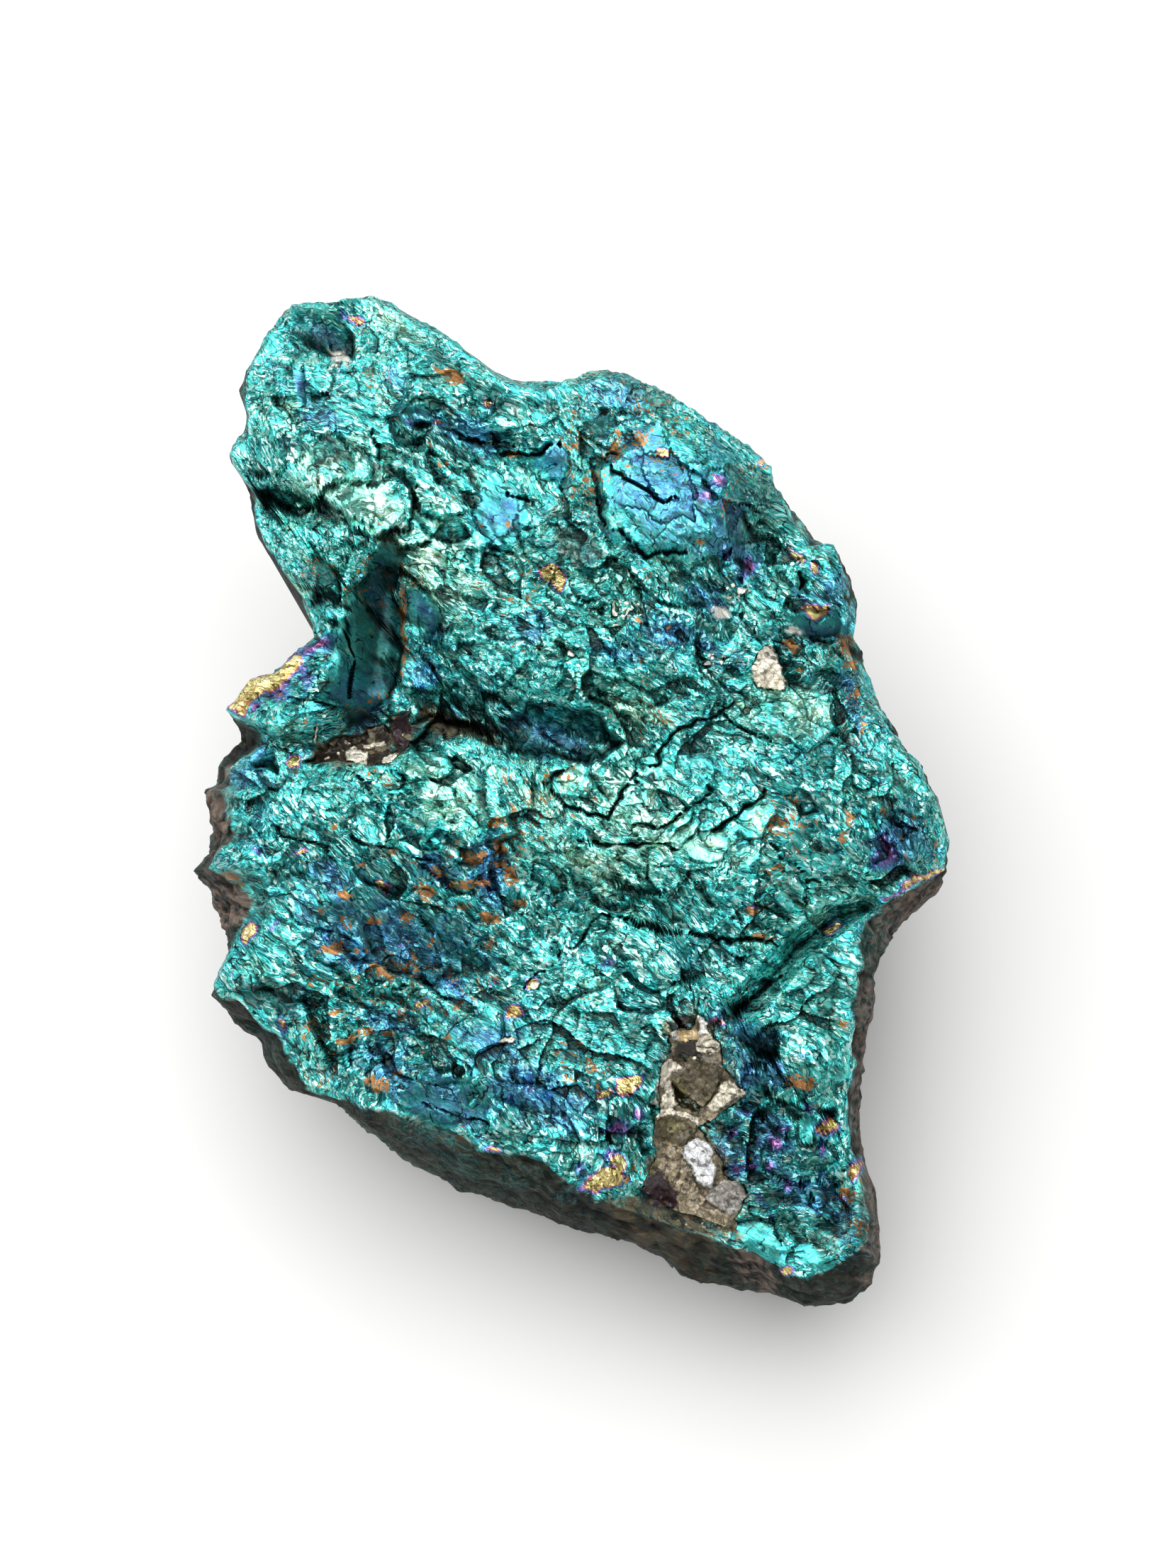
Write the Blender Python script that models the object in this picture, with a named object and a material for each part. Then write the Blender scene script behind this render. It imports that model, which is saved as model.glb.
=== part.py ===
"""A hand-sized lump of peacock ore: one broken natural stone, lying on a small flat break on its back.

The broad broken face is described as it is seen from in front: u runs to the right, v runs up the face
and w comes towards the viewer. The face leans back, so its far end is thicker than its near end.
All sizes are in millimetres until the mesh is made, which is in metres with +Z up.
"""
import bmesh
import bpy
import numpy as np
from math import cos, radians, sin

MM = 0.001

# Driving dimensions
FACE_TILT = 74.0            # degrees from level at which the broad face is seen square on
SIGHT_DISTANCE = 200.0      # distance from which the outline was measured
FACE_HEIGHT = 21.0          # height of the face's middle above the flat it rests on
FACE_CROWN = 1.4            # how far the face falls from its middle to its rim
FACE_MIDDLE = (-0.8, -2.0)  # the point of the face that its outline is measured around
WALL_DEPTH = 3.0            # depth below the rim at which the side walls are widest
WALL_DEPTH_PER_LIP = 2.2    # more of that depth for each millimetre of wall that shows in front
HEART = (-1.0, 1.0, 10.0)   # the point inside the stone that the breaks underneath are measured from
SOCKET_DEPTH = 2.0          # how far the uncut underside would reach below the resting flat
BOWL_SQUARENESS = 0.6       # below 1 makes the back boxy, 1 makes it round
FACING_BAND = 0.07          # share of the face near its rim where relief turns from forwards to outwards
CALM_BAND = 0.08            # share of the face and the back beside the rim where relief dies down
RIM_RELIEF = 0.25           # how much of the relief is left on the rim
BACK_SINK = 0.2             # how much deeper the chips lie on the walls and the back

# Shares of a sphere's surface that become the face and the visible lip; the rest is the back
FACE_SHARE = 0.46
LIP_SHARE = 0.06
MESH_LEVEL = 5

# Outline of the face as it is seen: u, v and the width of the side wall that shows outside the rim
OUTLINE = [
    (17.1, 0.6, 0.4), (15.3, 3.2, 0.4), (14.1, 5.8, 0.4), (13.7, 9.2, 0.3), (12.9, 11.4, 0.3),
    (11.5, 12.4, 0.3), (10.3, 14.0, 0.3), (9.4, 15.3, 0.3), (8.7, 16.6, 0.3), (6.1, 18.6, 0.3),
    (3.1, 20.3, 0.3), (0.6, 21.1, 0.3), (-2.1, 20.6, 0.3), (-4.7, 21.2, 0.3), (-8.8, 23.8, 0.3),
    (-10.9, 24.8, 0.3), (-13.5, 24.4, 0.3), (-15.0, 24.3, 0.3), (-16.4, 22.7, 0.3), (-17.8, 20.0, 0.6),
    (-17.4, 18.0, 0.4), (-18.3, 16.8, 0.3), (-17.2, 14.6, 0.9), (-16.2, 11.6, 0.9), (-14.9, 9.8, 0.6),
    (-14.1, 7.6, 0.5), (-15.1, 6.5, 0.4), (-17.1, 5.4, 0.3), (-18.5, 3.8, 0.4), (-17.8, 2.9, 1.3),
    (-18.8, 0.9, 0.6), (-19.4, -1.0, 1.4), (-19.1, -2.5, 1.8), (-20.0, -4.4, 1.0), (-19.0, -6.4, 2.2),
    (-18.2, -8.5, 0.4), (-19.2, -10.8, 0.5), (-17.6, -12.6, 1.3), (-16.5, -14.0, 1.5), (-13.8, -16.0, 1.0),
    (-10.6, -18.0, 2.0), (-7.5, -20.1, 2.6), (-4.7, -21.3, 2.8), (0.7, -22.9, 2.2), (4.7, -24.9, 2.6),
    (9.2, -25.8, 2.0), (11.7, -26.8, 1.8), (14.4, -25.5, 1.5), (14.9, -22.5, 1.1), (13.8, -17.8, 0.8),
    (14.1, -13.3, 1.1), (14.6, -10.8, 1.4), (14.5, -9.9, 1.3), (16.6, -6.4, 1.6), (18.2, -4.3, 0.5),
    (17.9, -1.4, 0.3),
]

# Swells and hollows of the face: u, v, half length, half width, direction in degrees, height
FACE_FORMS = [
    (-12.5, 17.5, 5.0, 3.5, -40, 0.9),
    (-13.6, 23.0, 2.2, 1.4, -10, -1.4),
    (-4.2, 17.2, 3.6, 0.9, -8, -0.9),
    (-15.4, 14.4, 2.0, 1.0, -20, -1.1),
    (-10.4, 8.2, 4.6, 1.5, 84, -1.3),
    (-8.2, 9.5, 4.5, 1.1, 80, 0.7),
    (4.0, 14.6, 3.8, 3.4, 0, 1.0),
    (9.6, 12.6, 3.0, 1.2, -70, -0.7),
    (-11.2, 2.6, 3.2, 1.1, 16, -2.0),
    (-15.4, 3.6, 1.6, 1.6, 0, 0.9),
    (-1.8, 2.8, 4.4, 1.3, -6, -1.2),
    (-6.6, 4.2, 3.2, 1.3, -20, -1.0),
    (8.0, 3.6, 5.0, 2.0, -35, 0.6),
    (-9.6, -7.4, 6.0, 3.2, -25, -1.0),
    (2.5, -4.0, 7.0, 2.2, -12, 0.7),
    (-8.0, -15.6, 4.5, 2.4, -24, 0.5),
    (5.2, -17.6, 1.8, 4.2, 8, -0.7),
    (10.4, -15.5, 2.2, 5.0, 0, 0.7),
]

# The open crack near the right-hand tip: points along it, half width and depth
CRACK = [(14.2, -6.4), (12.6, -6.8), (10.5, -8.4), (9.0, -10.2), (7.6, -11.5)]
CRACK_HALF_WIDTH = 0.9
CRACK_DEPTH = 1.5

# Large breaks underneath: bearing and slope in degrees below level, and distance from the heart
UNDER_BREAKS = [
    (262, 68, 13.4), (310, 66, 13.2), (355, 48, 13.4), (38, 40, 14.0), (82, 34, 13.0),
    (112, 46, 14.0), (150, 38, 13.2), (188, 50, 13.4), (225, 58, 14.2), (62, 5, 20.0),
]
REST_BREAK = (0, 90, HEART[2])

# Conchoidal chips over the whole stone: size of a chip, depth on the face, depth on the back, seed
CHIPS = [(8.0, 1.3, 2.8, 11), (4.2, 0.9, 1.2, 23)]
CHIP_STRETCH = 1.7          # how much longer a chip is along the grain than across it
GRAIN_DIRECTION = -35.0     # degrees in the plane of the face
CHIP_TILT = 0.9
CHIP_CURVE = 0.75


def cell_random(cell, seed):
    """Three repeatable random numbers from 0 to 1 for each whole-numbered cell of space."""
    key = cell.astype(np.uint64)
    mixed = key[:, 0] * np.uint64(0x9E3779B97F4A7C15) ^ key[:, 1] * np.uint64(0xC2B2AE3D27D4EB4F)
    mixed ^= key[:, 2] * np.uint64(0x165667B19E3779F9) ^ np.uint64((seed * 0x27D4EB2F165667C5) % 2 ** 64)
    for shift, factor in ((33, 0xFF51AFD7ED558CCD), (33, 0xC4CEB9FE1A85EC53), (33, 1)):
        mixed = (mixed ^ (mixed >> np.uint64(shift))) * np.uint64(factor)
    parts = [(mixed >> np.uint64(21 * k)) & np.uint64(0x1FFFFF) for k in range(3)]
    return np.stack(parts, axis=1).astype(np.float64) / 2.0 ** 21


def chips(points, size, seed):
    """Hollow chips with sharp ridges between them: the lowest of the tilted bowls around each point."""
    turn = radians(GRAIN_DIRECTION)
    along = points[:, 0] * cos(turn) + points[:, 1] * sin(turn)
    across = points[:, 1] * cos(turn) - points[:, 0] * sin(turn)
    place = np.stack((along / CHIP_STRETCH, across, points[:, 2]), axis=1) / size
    corner = np.floor(place)
    lowest = np.full(len(points), 9.0)
    for step in np.ndindex(3, 3, 3):
        cell = (corner + np.array(step) - 1.0).astype(np.int64)
        lean = cell_random(cell, seed + 1) - 0.5
        away = place - cell - cell_random(cell, seed)
        bowl = CHIP_CURVE * (away ** 2).sum(axis=1) + CHIP_TILT * (away * lean).sum(axis=1)
        lowest = np.minimum(lowest, bowl + 0.5 * cell_random(cell, seed + 2)[:, 0])
    return lowest - 0.35


def outline_at(angle):
    """Distance from the face's middle to the outline, and the width of the lip, along each angle."""
    spots = np.array(OUTLINE)
    du = spots[:, 0] - FACE_MIDDLE[0]
    dv = spots[:, 1] - FACE_MIDDLE[1]
    bearing = np.mod(np.arctan2(dv, du), 2.0 * np.pi)
    reach = np.interp(angle, bearing, np.hypot(du, dv), period=2.0 * np.pi)
    lip = np.interp(angle, bearing, spots[:, 2], period=2.0 * np.pi)
    return reach, lip


def swell(u, v, form):
    """One long rounded swell or hollow of the face."""
    u0, v0, half_length, half_width, direction, height = form
    turn = radians(direction)
    along = ((u - u0) * cos(turn) + (v - v0) * sin(turn)) / half_length
    across = ((v - v0) * cos(turn) - (u - u0) * sin(turn)) / half_width
    return height * np.exp(-(along ** 2 + across ** 2))


def distance_to_path(u, v, path):
    """Shortest distance from each point to a path of straight stretches."""
    nearest = np.full(len(u), 1e3)
    for (u0, v0), (u1, v1) in zip(path[:-1], path[1:]):
        length2 = (u1 - u0) ** 2 + (v1 - v0) ** 2
        share = np.clip(((u - u0) * (u1 - u0) + (v - v0) * (v1 - v0)) / length2, 0.0, 1.0)
        nearest = np.minimum(nearest, np.hypot(u - u0 - share * (u1 - u0), v - v0 - share * (v1 - v0)))
    return nearest


def face_height(u, v, share):
    """Height of the broad face above its reference plane, from its crown, swells and open crack."""
    height = -FACE_CROWN * share ** 3
    for form in FACE_FORMS:
        height = height + swell(u, v, form)
    gap = np.clip(1.0 - distance_to_path(u, v, CRACK) / CRACK_HALF_WIDTH, 0.0, 1.0)
    return height - CRACK_DEPTH * gap


def to_world(u, v, w):
    """Places measured on the face, spread along the line of sight and turned to lie with +Z up."""
    spread = 1.0 - w / SIGHT_DISTANCE
    tilt = radians(FACE_TILT)
    x = u * spread
    y = v * spread * sin(tilt) - w * cos(tilt)
    z = v * spread * cos(tilt) + w * sin(tilt) + FACE_HEIGHT
    return np.stack((x, y, z), axis=1)


def from_world(points):
    """The reverse of to_world: u, v and w of places in millimetres."""
    tilt = radians(FACE_TILT)
    level = points[:, 2] - FACE_HEIGHT
    w = level * sin(tilt) - points[:, 1] * cos(tilt)
    spread = 1.0 - w / SIGHT_DISTANCE
    v = (points[:, 1] * sin(tilt) + level * cos(tilt)) / spread
    return points[:, 0] / spread, v, w


def face_and_lip(angle, ring):
    """The broad face, ring 0 to 1, and the wall that shows around it, ring 1 to 2, the widest line."""
    reach, lip = outline_at(angle)
    share = np.clip(ring, 0.0, 1.0)
    fall = np.clip(ring - 1.0, 0.0, 1.0) * np.pi / 2.0
    rim = share * (reach - lip)
    radius = rim + lip * np.sin(fall)
    height = face_height(FACE_MIDDLE[0] + rim * np.cos(angle), FACE_MIDDLE[1] + rim * np.sin(angle), share)
    drop = (WALL_DEPTH + WALL_DEPTH_PER_LIP * lip) * (1.0 - np.cos(fall))
    u = FACE_MIDDLE[0] + radius * np.cos(angle)
    v = FACE_MIDDLE[1] + radius * np.sin(angle)
    return to_world(u, v, height - drop)


def back(widest, ring):
    """The back of the stone, ring 2 to 3: a rounded bowl from the widest line to below the resting flat."""
    sweep = np.clip(ring - 2.0, 0.0, 1.0) * np.pi / 2.0
    inward = (np.cos(sweep) ** BOWL_SQUARENESS)[:, None]
    level = widest[:, 2] - (widest[:, 2] + SOCKET_DEPTH) * np.sin(sweep)
    across = np.array(HEART[:2]) + (widest[:, :2] - np.array(HEART[:2])) * inward
    return np.column_stack((across, level))


def cut_back(points, breaks):
    """Points outside a flat break are drawn in towards the heart until they lie on it."""
    heart = np.array(HEART)
    ray = points - heart
    keep = np.ones(len(points))
    for bearing, slope, distance in breaks:
        flat = cos(radians(slope))
        normal = np.array((flat * cos(radians(bearing)), flat * sin(radians(bearing)), -sin(radians(slope))))
        out = ray @ normal
        keep = np.minimum(keep, distance / np.maximum(out, distance))
    return heart + ray * keep[:, None]


def inside_outline(points):
    """Points that stand outside the outline, as it is seen from in front, are drawn in to it."""
    u, v, w = from_world(points)
    du = u - FACE_MIDDLE[0]
    dv = v - FACE_MIDDLE[1]
    reach, _ = outline_at(np.mod(np.arctan2(dv, du), 2.0 * np.pi))
    keep = np.minimum(1.0, reach / np.maximum(np.hypot(du, dv), 1e-6))
    return to_world(FACE_MIDDLE[0] + du * keep, FACE_MIDDLE[1] + dv * keep, w)


def ring_of(directions):
    """Shares out a sphere's surface: ring 0 to 1 is the face, 1 to 2 the lip and 2 to 3 the back."""
    turned = (1.0 - directions[:, 2]) / 2.0
    face = np.sqrt(np.clip(turned / FACE_SHARE, 0.0, 1.0))
    lip = np.clip((turned - FACE_SHARE) / LIP_SHARE, 0.0, 1.0)
    rest = np.clip((turned - FACE_SHARE - LIP_SHARE) / (1.0 - FACE_SHARE - LIP_SHARE), 0.0, 1.0)
    return face + lip + 1.0 - (1.0 - rest) ** 0.83


def stone_points(angle, ring):
    """Places on the stone's surface for bearings around the face's middle and rings 0 to 3."""
    front = face_and_lip(angle, np.minimum(ring, 2.0))
    points = np.where((ring > 2.0)[:, None], back(front, ring), front)
    points = cut_back(points, UNDER_BREAKS)
    outward = points - np.array(HEART)
    outward /= np.linalg.norm(outward, axis=1)[:, None]
    tilt = radians(FACE_TILT)
    facing = np.clip((1.0 - ring) / FACING_BAND, 0.0, 1.0)[:, None]
    push = outward * (1.0 - facing) + np.array((0.0, -cos(tilt), sin(tilt))) * facing
    calm = np.clip(np.maximum(1.0 - ring, ring - 2.0) / CALM_BAND, RIM_RELIEF, 1.0)
    for size, face_depth, back_depth, seed in CHIPS:
        depth = back_depth + (face_depth - back_depth) * facing[:, 0]
        relief = chips(points, size, seed) - BACK_SINK * (1.0 - facing[:, 0])
        points = points + push * (depth * calm * relief)[:, None]
    return cut_back(inside_outline(points), [REST_BREAK])


def ore_material():
    """Dark blue-green metallic tarnish."""
    material = bpy.data.materials.new("tarnished_ore")
    material.use_nodes = True
    shader = material.node_tree.nodes["Principled BSDF"]
    shader.inputs["Base Color"].default_value = (0.03, 0.30, 0.32, 1.0)
    shader.inputs["Metallic"].default_value = 0.85
    shader.inputs["Roughness"].default_value = 0.38
    return material


def make_stone(collection):
    """The stone as one closed mesh, standing on z = 0 with the middle of its box over the origin."""
    mesh = bpy.data.meshes.new("peacock_ore")
    cage = bmesh.new()
    bmesh.ops.create_icosphere(cage, subdivisions=MESH_LEVEL, radius=1.0)
    directions = np.array([vertex.co[:] for vertex in cage.verts])
    angle = np.mod(np.arctan2(directions[:, 1], directions[:, 0]), 2.0 * np.pi)
    points = stone_points(angle, ring_of(directions))
    low = points.min(axis=0)
    high = points.max(axis=0)
    points -= np.array(((low[0] + high[0]) / 2.0, (low[1] + high[1]) / 2.0, low[2]))
    for vertex, place in zip(cage.verts, points * MM):
        vertex.co = place
    bmesh.ops.recalc_face_normals(cage, faces=cage.faces)
    cage.to_mesh(mesh)
    cage.free()
    mesh.materials.append(ore_material())
    stone = bpy.data.objects.new("peacock_ore", mesh)
    collection.objects.link(stone)
    return stone


def clear_scene():
    """Removes whatever objects the open file holds."""
    for item in list(bpy.data.objects):
        bpy.data.objects.remove(item, do_unlink=True)


def main():
    clear_scene()
    collection = bpy.data.collections.new("peacock_ore")
    bpy.context.scene.collection.children.link(collection)
    make_stone(collection)


main()
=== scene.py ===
"""Peacock ore: the finish of one palm-sized lump of tarnished ore.

The lump is one closed surface. Its broad broken face is described as it is seen from in front: u runs to
the right, v runs up the face and w comes towards the viewer, all in millimetres from the middle of the
picture. Rings run from 0 in the middle of the face to 1 at its rim, 2 where the stone is widest and 3
under its middle. Quartz chips and grains are separate pieces, set into the lump.

A spot is a turned ellipse of the face: u, v, half length, half width and direction in degrees. A recipe is
a base value and rows of amount, size in millimetres and seed, for noises that are added to it.
"""

import bpy
import mathutils
import numpy as np
from bpy.props import FloatProperty, FloatVectorProperty, IntProperty, PointerProperty
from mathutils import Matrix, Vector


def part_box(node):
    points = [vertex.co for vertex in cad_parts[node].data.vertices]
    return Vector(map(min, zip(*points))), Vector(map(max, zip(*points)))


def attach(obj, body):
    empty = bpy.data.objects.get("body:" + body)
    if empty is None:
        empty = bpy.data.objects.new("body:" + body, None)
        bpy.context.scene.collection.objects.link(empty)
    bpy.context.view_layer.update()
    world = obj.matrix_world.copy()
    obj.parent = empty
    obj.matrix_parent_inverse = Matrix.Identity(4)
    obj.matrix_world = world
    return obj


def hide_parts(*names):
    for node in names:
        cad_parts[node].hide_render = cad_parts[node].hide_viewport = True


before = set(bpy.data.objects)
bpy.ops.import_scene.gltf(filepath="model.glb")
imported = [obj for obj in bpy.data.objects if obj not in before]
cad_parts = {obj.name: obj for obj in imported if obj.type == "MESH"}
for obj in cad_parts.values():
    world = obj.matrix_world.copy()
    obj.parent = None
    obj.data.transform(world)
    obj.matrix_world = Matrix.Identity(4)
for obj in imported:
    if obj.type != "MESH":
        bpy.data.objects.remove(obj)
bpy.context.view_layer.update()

bl_info = {
    "name": "Peacock Ore",
    "version": (1, 0, 0),
    "blender": (4, 5, 0),
    "location": "3D View > Sidebar > Peacock Ore",
    "description": "Builds a lump of tarnished peacock ore with its quartz vein, floor, lights and camera",
    "category": "Object",
}

NODE = "peacock_ore"
BODY = "root"
MM = 0.001
FULL_TURN = 2.0 * np.pi


def pairs(numbers):
    """Places from a flat list of their u and v."""
    return list(zip(numbers[::2], numbers[1::2]))


# The stone's form, in millimetres and degrees, as its solid has it
FACE_TILT = 74.0
SIGHT_DISTANCE = 200.0
FACE_HEIGHT = 21.0
FACE_CROWN = 1.4
FACE_MIDDLE = (-0.8, -2.0)
WALL_DEPTH = 3.0
WALL_DEPTH_PER_LIP = 2.2
HEART = (-1.0, 1.0, 10.0)
SOCKET_DEPTH = 2.0
BOWL_SQUARENESS = 0.6
FACING_BAND = 0.07
CALM_BAND = 0.08
RIM_RELIEF = 0.25
# Flat breaks of the back: bearing, slope and distance from the heart
UNDER_BREAKS = [
    (262, 68, 13.4), (310, 66, 13.2), (355, 48, 13.4), (38, 40, 14.0), (82, 34, 13.0),
    (112, 46, 14.0), (150, 38, 13.2), (188, 50, 13.4), (225, 58, 14.2), (62, 5, 20.0),
]
REST_BREAK = (0, 90, HEART[2])
# Hollow chips: size, depth on the face, depth on the back and seed
CHIPS = [(8.0, 1.3, 2.8, 11), (4.2, 0.9, 1.2, 23)]
CHIP_STRETCH = 1.7
GRAIN_DIRECTION = -35.0
CHIP_TILT = 0.9
CHIP_CURVE = 0.75
CHIP_LEVEL = 0.35

# The picture's height on the stone's face, for the camera, and how near and far it sees, in metres
PICTURE_PIXELS = (1659, 2212)
PIXEL_SIZE = 0.036
SENSOR = 36.0
NEAREST_SEEN = 0.01
FARTHEST_SEEN = 10.0

# Softboxes: bearing around the line of sight and angle off it, in degrees, and distance in metres
KEY_PLACE = (112.0, 32.0, 0.55)
FILL_PLACE = (-20.0, 55.0, 0.6)
FILL_SIZE = 0.35

# Outline of the face as it is seen: u, v and the width of the side wall that shows outside the rim
OUTLINE = [
    (17.1, 0.6, 0.4), (16.2, 1.8, 0.5), (15.3, 3.2, 0.4), (14.6, 4.4, 0.4), (14.1, 5.8, 0.4),
    (13.6, 7.5, 0.3), (13.7, 9.2, 0.3), (13.5, 10.3, 0.3), (12.9, 11.4, 0.3), (12.5, 12.2, 0.3),
    (11.5, 12.4, 0.3), (10.3, 14.0, 0.3), (9.4, 15.3, 0.3), (9.3, 16.1, 0.3), (8.7, 16.6, 0.3),
    (7.6, 17.6, 0.3), (6.1, 18.6, 0.3), (4.5, 19.5, 0.3), (3.1, 20.3, 0.3), (1.6, 20.9, 0.3),
    (0.6, 21.1, 0.3), (-0.9, 20.6, 0.3), (-2.1, 20.6, 0.3), (-3.4, 20.8, 0.3), (-4.7, 21.2, 0.3),
    (-6.3, 22.2, 0.3), (-7.5, 23.0, 0.3), (-8.8, 23.8, 0.3), (-10.1, 24.6, 0.3), (-10.9, 24.8, 0.3),
    (-12.2, 24.7, 0.3), (-13.5, 24.4, 0.3), (-15.0, 24.3, 0.3), (-15.5, 23.8, 0.3), (-16.4, 22.7, 0.3),
    (-17.1, 21.8, 0.3), (-17.5, 21.2, 0.4), (-17.8, 20.0, 0.6), (-17.4, 18.9, 0.5), (-17.4, 18.0, 0.4),
    (-18.1, 17.3, 0.3), (-18.3, 16.8, 0.3), (-18.0, 16.1, 0.5), (-17.4, 15.3, 0.8), (-17.2, 14.6, 0.9),
    (-17.0, 13.4, 0.8), (-16.7, 12.5, 0.8), (-16.2, 11.6, 0.9), (-15.6, 10.7, 0.8), (-14.9, 9.8, 0.6),
    (-14.5, 9.0, 0.4), (-14.3, 8.3, 0.6), (-14.1, 7.6, 0.5), (-15.1, 6.5, 0.4), (-15.5, 6.0, 0.3),
    (-16.0, 5.6, 0.3), (-17.1, 5.4, 0.3), (-17.4, 4.9, 0.3), (-18.5, 3.8, 0.4), (-17.8, 2.9, 1.5),
    (-17.7, 2.2, 1.2), (-18.8, 0.9, 0.6), (-18.8, 0.0, 0.6), (-19.4, -0.3, 0.9), (-19.4, -1.0, 1.4),
    (-19.1, -2.5, 1.8), (-19.4, -3.6, 1.2), (-20.0, -4.4, 1.0), (-19.3, -5.4, 2.0), (-19.0, -6.4, 2.2),
    (-18.4, -7.5, 1.2), (-18.2, -8.5, 0.4), (-18.8, -9.7, 0.4), (-19.2, -10.8, 0.5), (-18.5, -11.5, 0.9),
    (-17.6, -12.6, 1.3), (-16.7, -13.3, 1.4), (-16.5, -14.0, 1.5), (-15.8, -14.9, 1.4), (-15.3, -15.6, 1.2),
    (-13.8, -16.0, 1.0), (-12.9, -16.2, 1.1), (-11.9, -17.1, 1.6), (-10.6, -18.0, 2.0), (-9.2, -19.2, 2.4),
    (-7.5, -20.1, 2.6), (-6.5, -20.8, 2.8), (-4.7, -21.3, 2.8), (-2.5, -21.8, 2.8), (-1.1, -22.4, 2.4),
    (0.7, -22.9, 2.2), (2.2, -23.3, 2.0), (3.6, -23.9, 2.2), (4.7, -24.9, 2.6), (5.6, -25.3, 2.6),
    (6.5, -25.4, 2.6), (7.6, -25.6, 2.4), (9.2, -25.8, 2.0), (10.3, -26.2, 1.8), (11.0, -26.6, 1.8),
    (11.7, -26.8, 1.8), (13.5, -26.4, 1.8), (14.4, -25.5, 1.5), (14.8, -24.4, 1.2), (14.9, -22.5, 1.1),
    (14.7, -20.7, 1.1), (14.1, -19.4, 0.9), (13.8, -17.8, 0.8), (13.8, -16.5, 0.8), (13.9, -14.9, 0.9),
    (14.1, -13.3, 1.1), (14.4, -12.0, 1.3), (14.6, -10.8, 1.4), (14.5, -9.9, 1.3), (14.8, -8.8, 1.3),
    (15.6, -7.5, 1.6), (16.6, -6.4, 1.6), (17.7, -5.5, 1.2), (18.2, -4.3, 0.5), (18.3, -3.0, 0.3),
    (17.9, -1.4, 0.3), (17.7, -0.8, 0.3),
]

# Swells and hollows of the face: spots, each with its height
FACE_FORMS = [
    (-12.5, 17.5, 5.0, 3.5, -40, 0.9), (-13.6, 23.0, 2.2, 1.4, -10, -1.4), (-4.2, 17.2, 3.6, 0.9, -8, -0.9),
    (-15.4, 14.4, 2.0, 1.0, -20, -1.1), (-10.4, 8.2, 4.6, 1.5, 84, -1.3), (-8.2, 9.5, 4.5, 1.1, 80, 0.7),
    (4.0, 14.6, 3.8, 3.4, 0, 1.0), (9.6, 12.6, 3.0, 1.2, -70, -0.7), (-11.2, 2.6, 3.2, 1.1, 16, -2.0),
    (-15.4, 3.6, 1.6, 1.6, 0, 0.9), (-1.8, 2.8, 4.4, 1.3, -6, -1.2), (-6.6, 4.2, 3.2, 1.3, -20, -1.0),
    (8.0, 3.6, 5.0, 2.0, -35, 0.6), (-9.6, -7.4, 6.0, 3.2, -25, -1.0), (2.5, -4.0, 7.0, 2.2, -12, 0.7),
    (-8.0, -15.6, 4.5, 2.4, -24, 0.5), (5.2, -17.6, 1.8, 4.2, 8, -0.7), (10.4, -15.5, 2.2, 5.0, 0, 0.7),
]

# The open crack near the right-hand tip: points along it, half width and depth
OPEN_CRACK = [(14.2, -6.4), (12.6, -6.8), (10.5, -8.4), (9.0, -10.2), (7.6, -11.5)]
OPEN_CRACK_HALF_WIDTH = 0.9
OPEN_CRACK_DEPTH = 1.5

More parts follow.
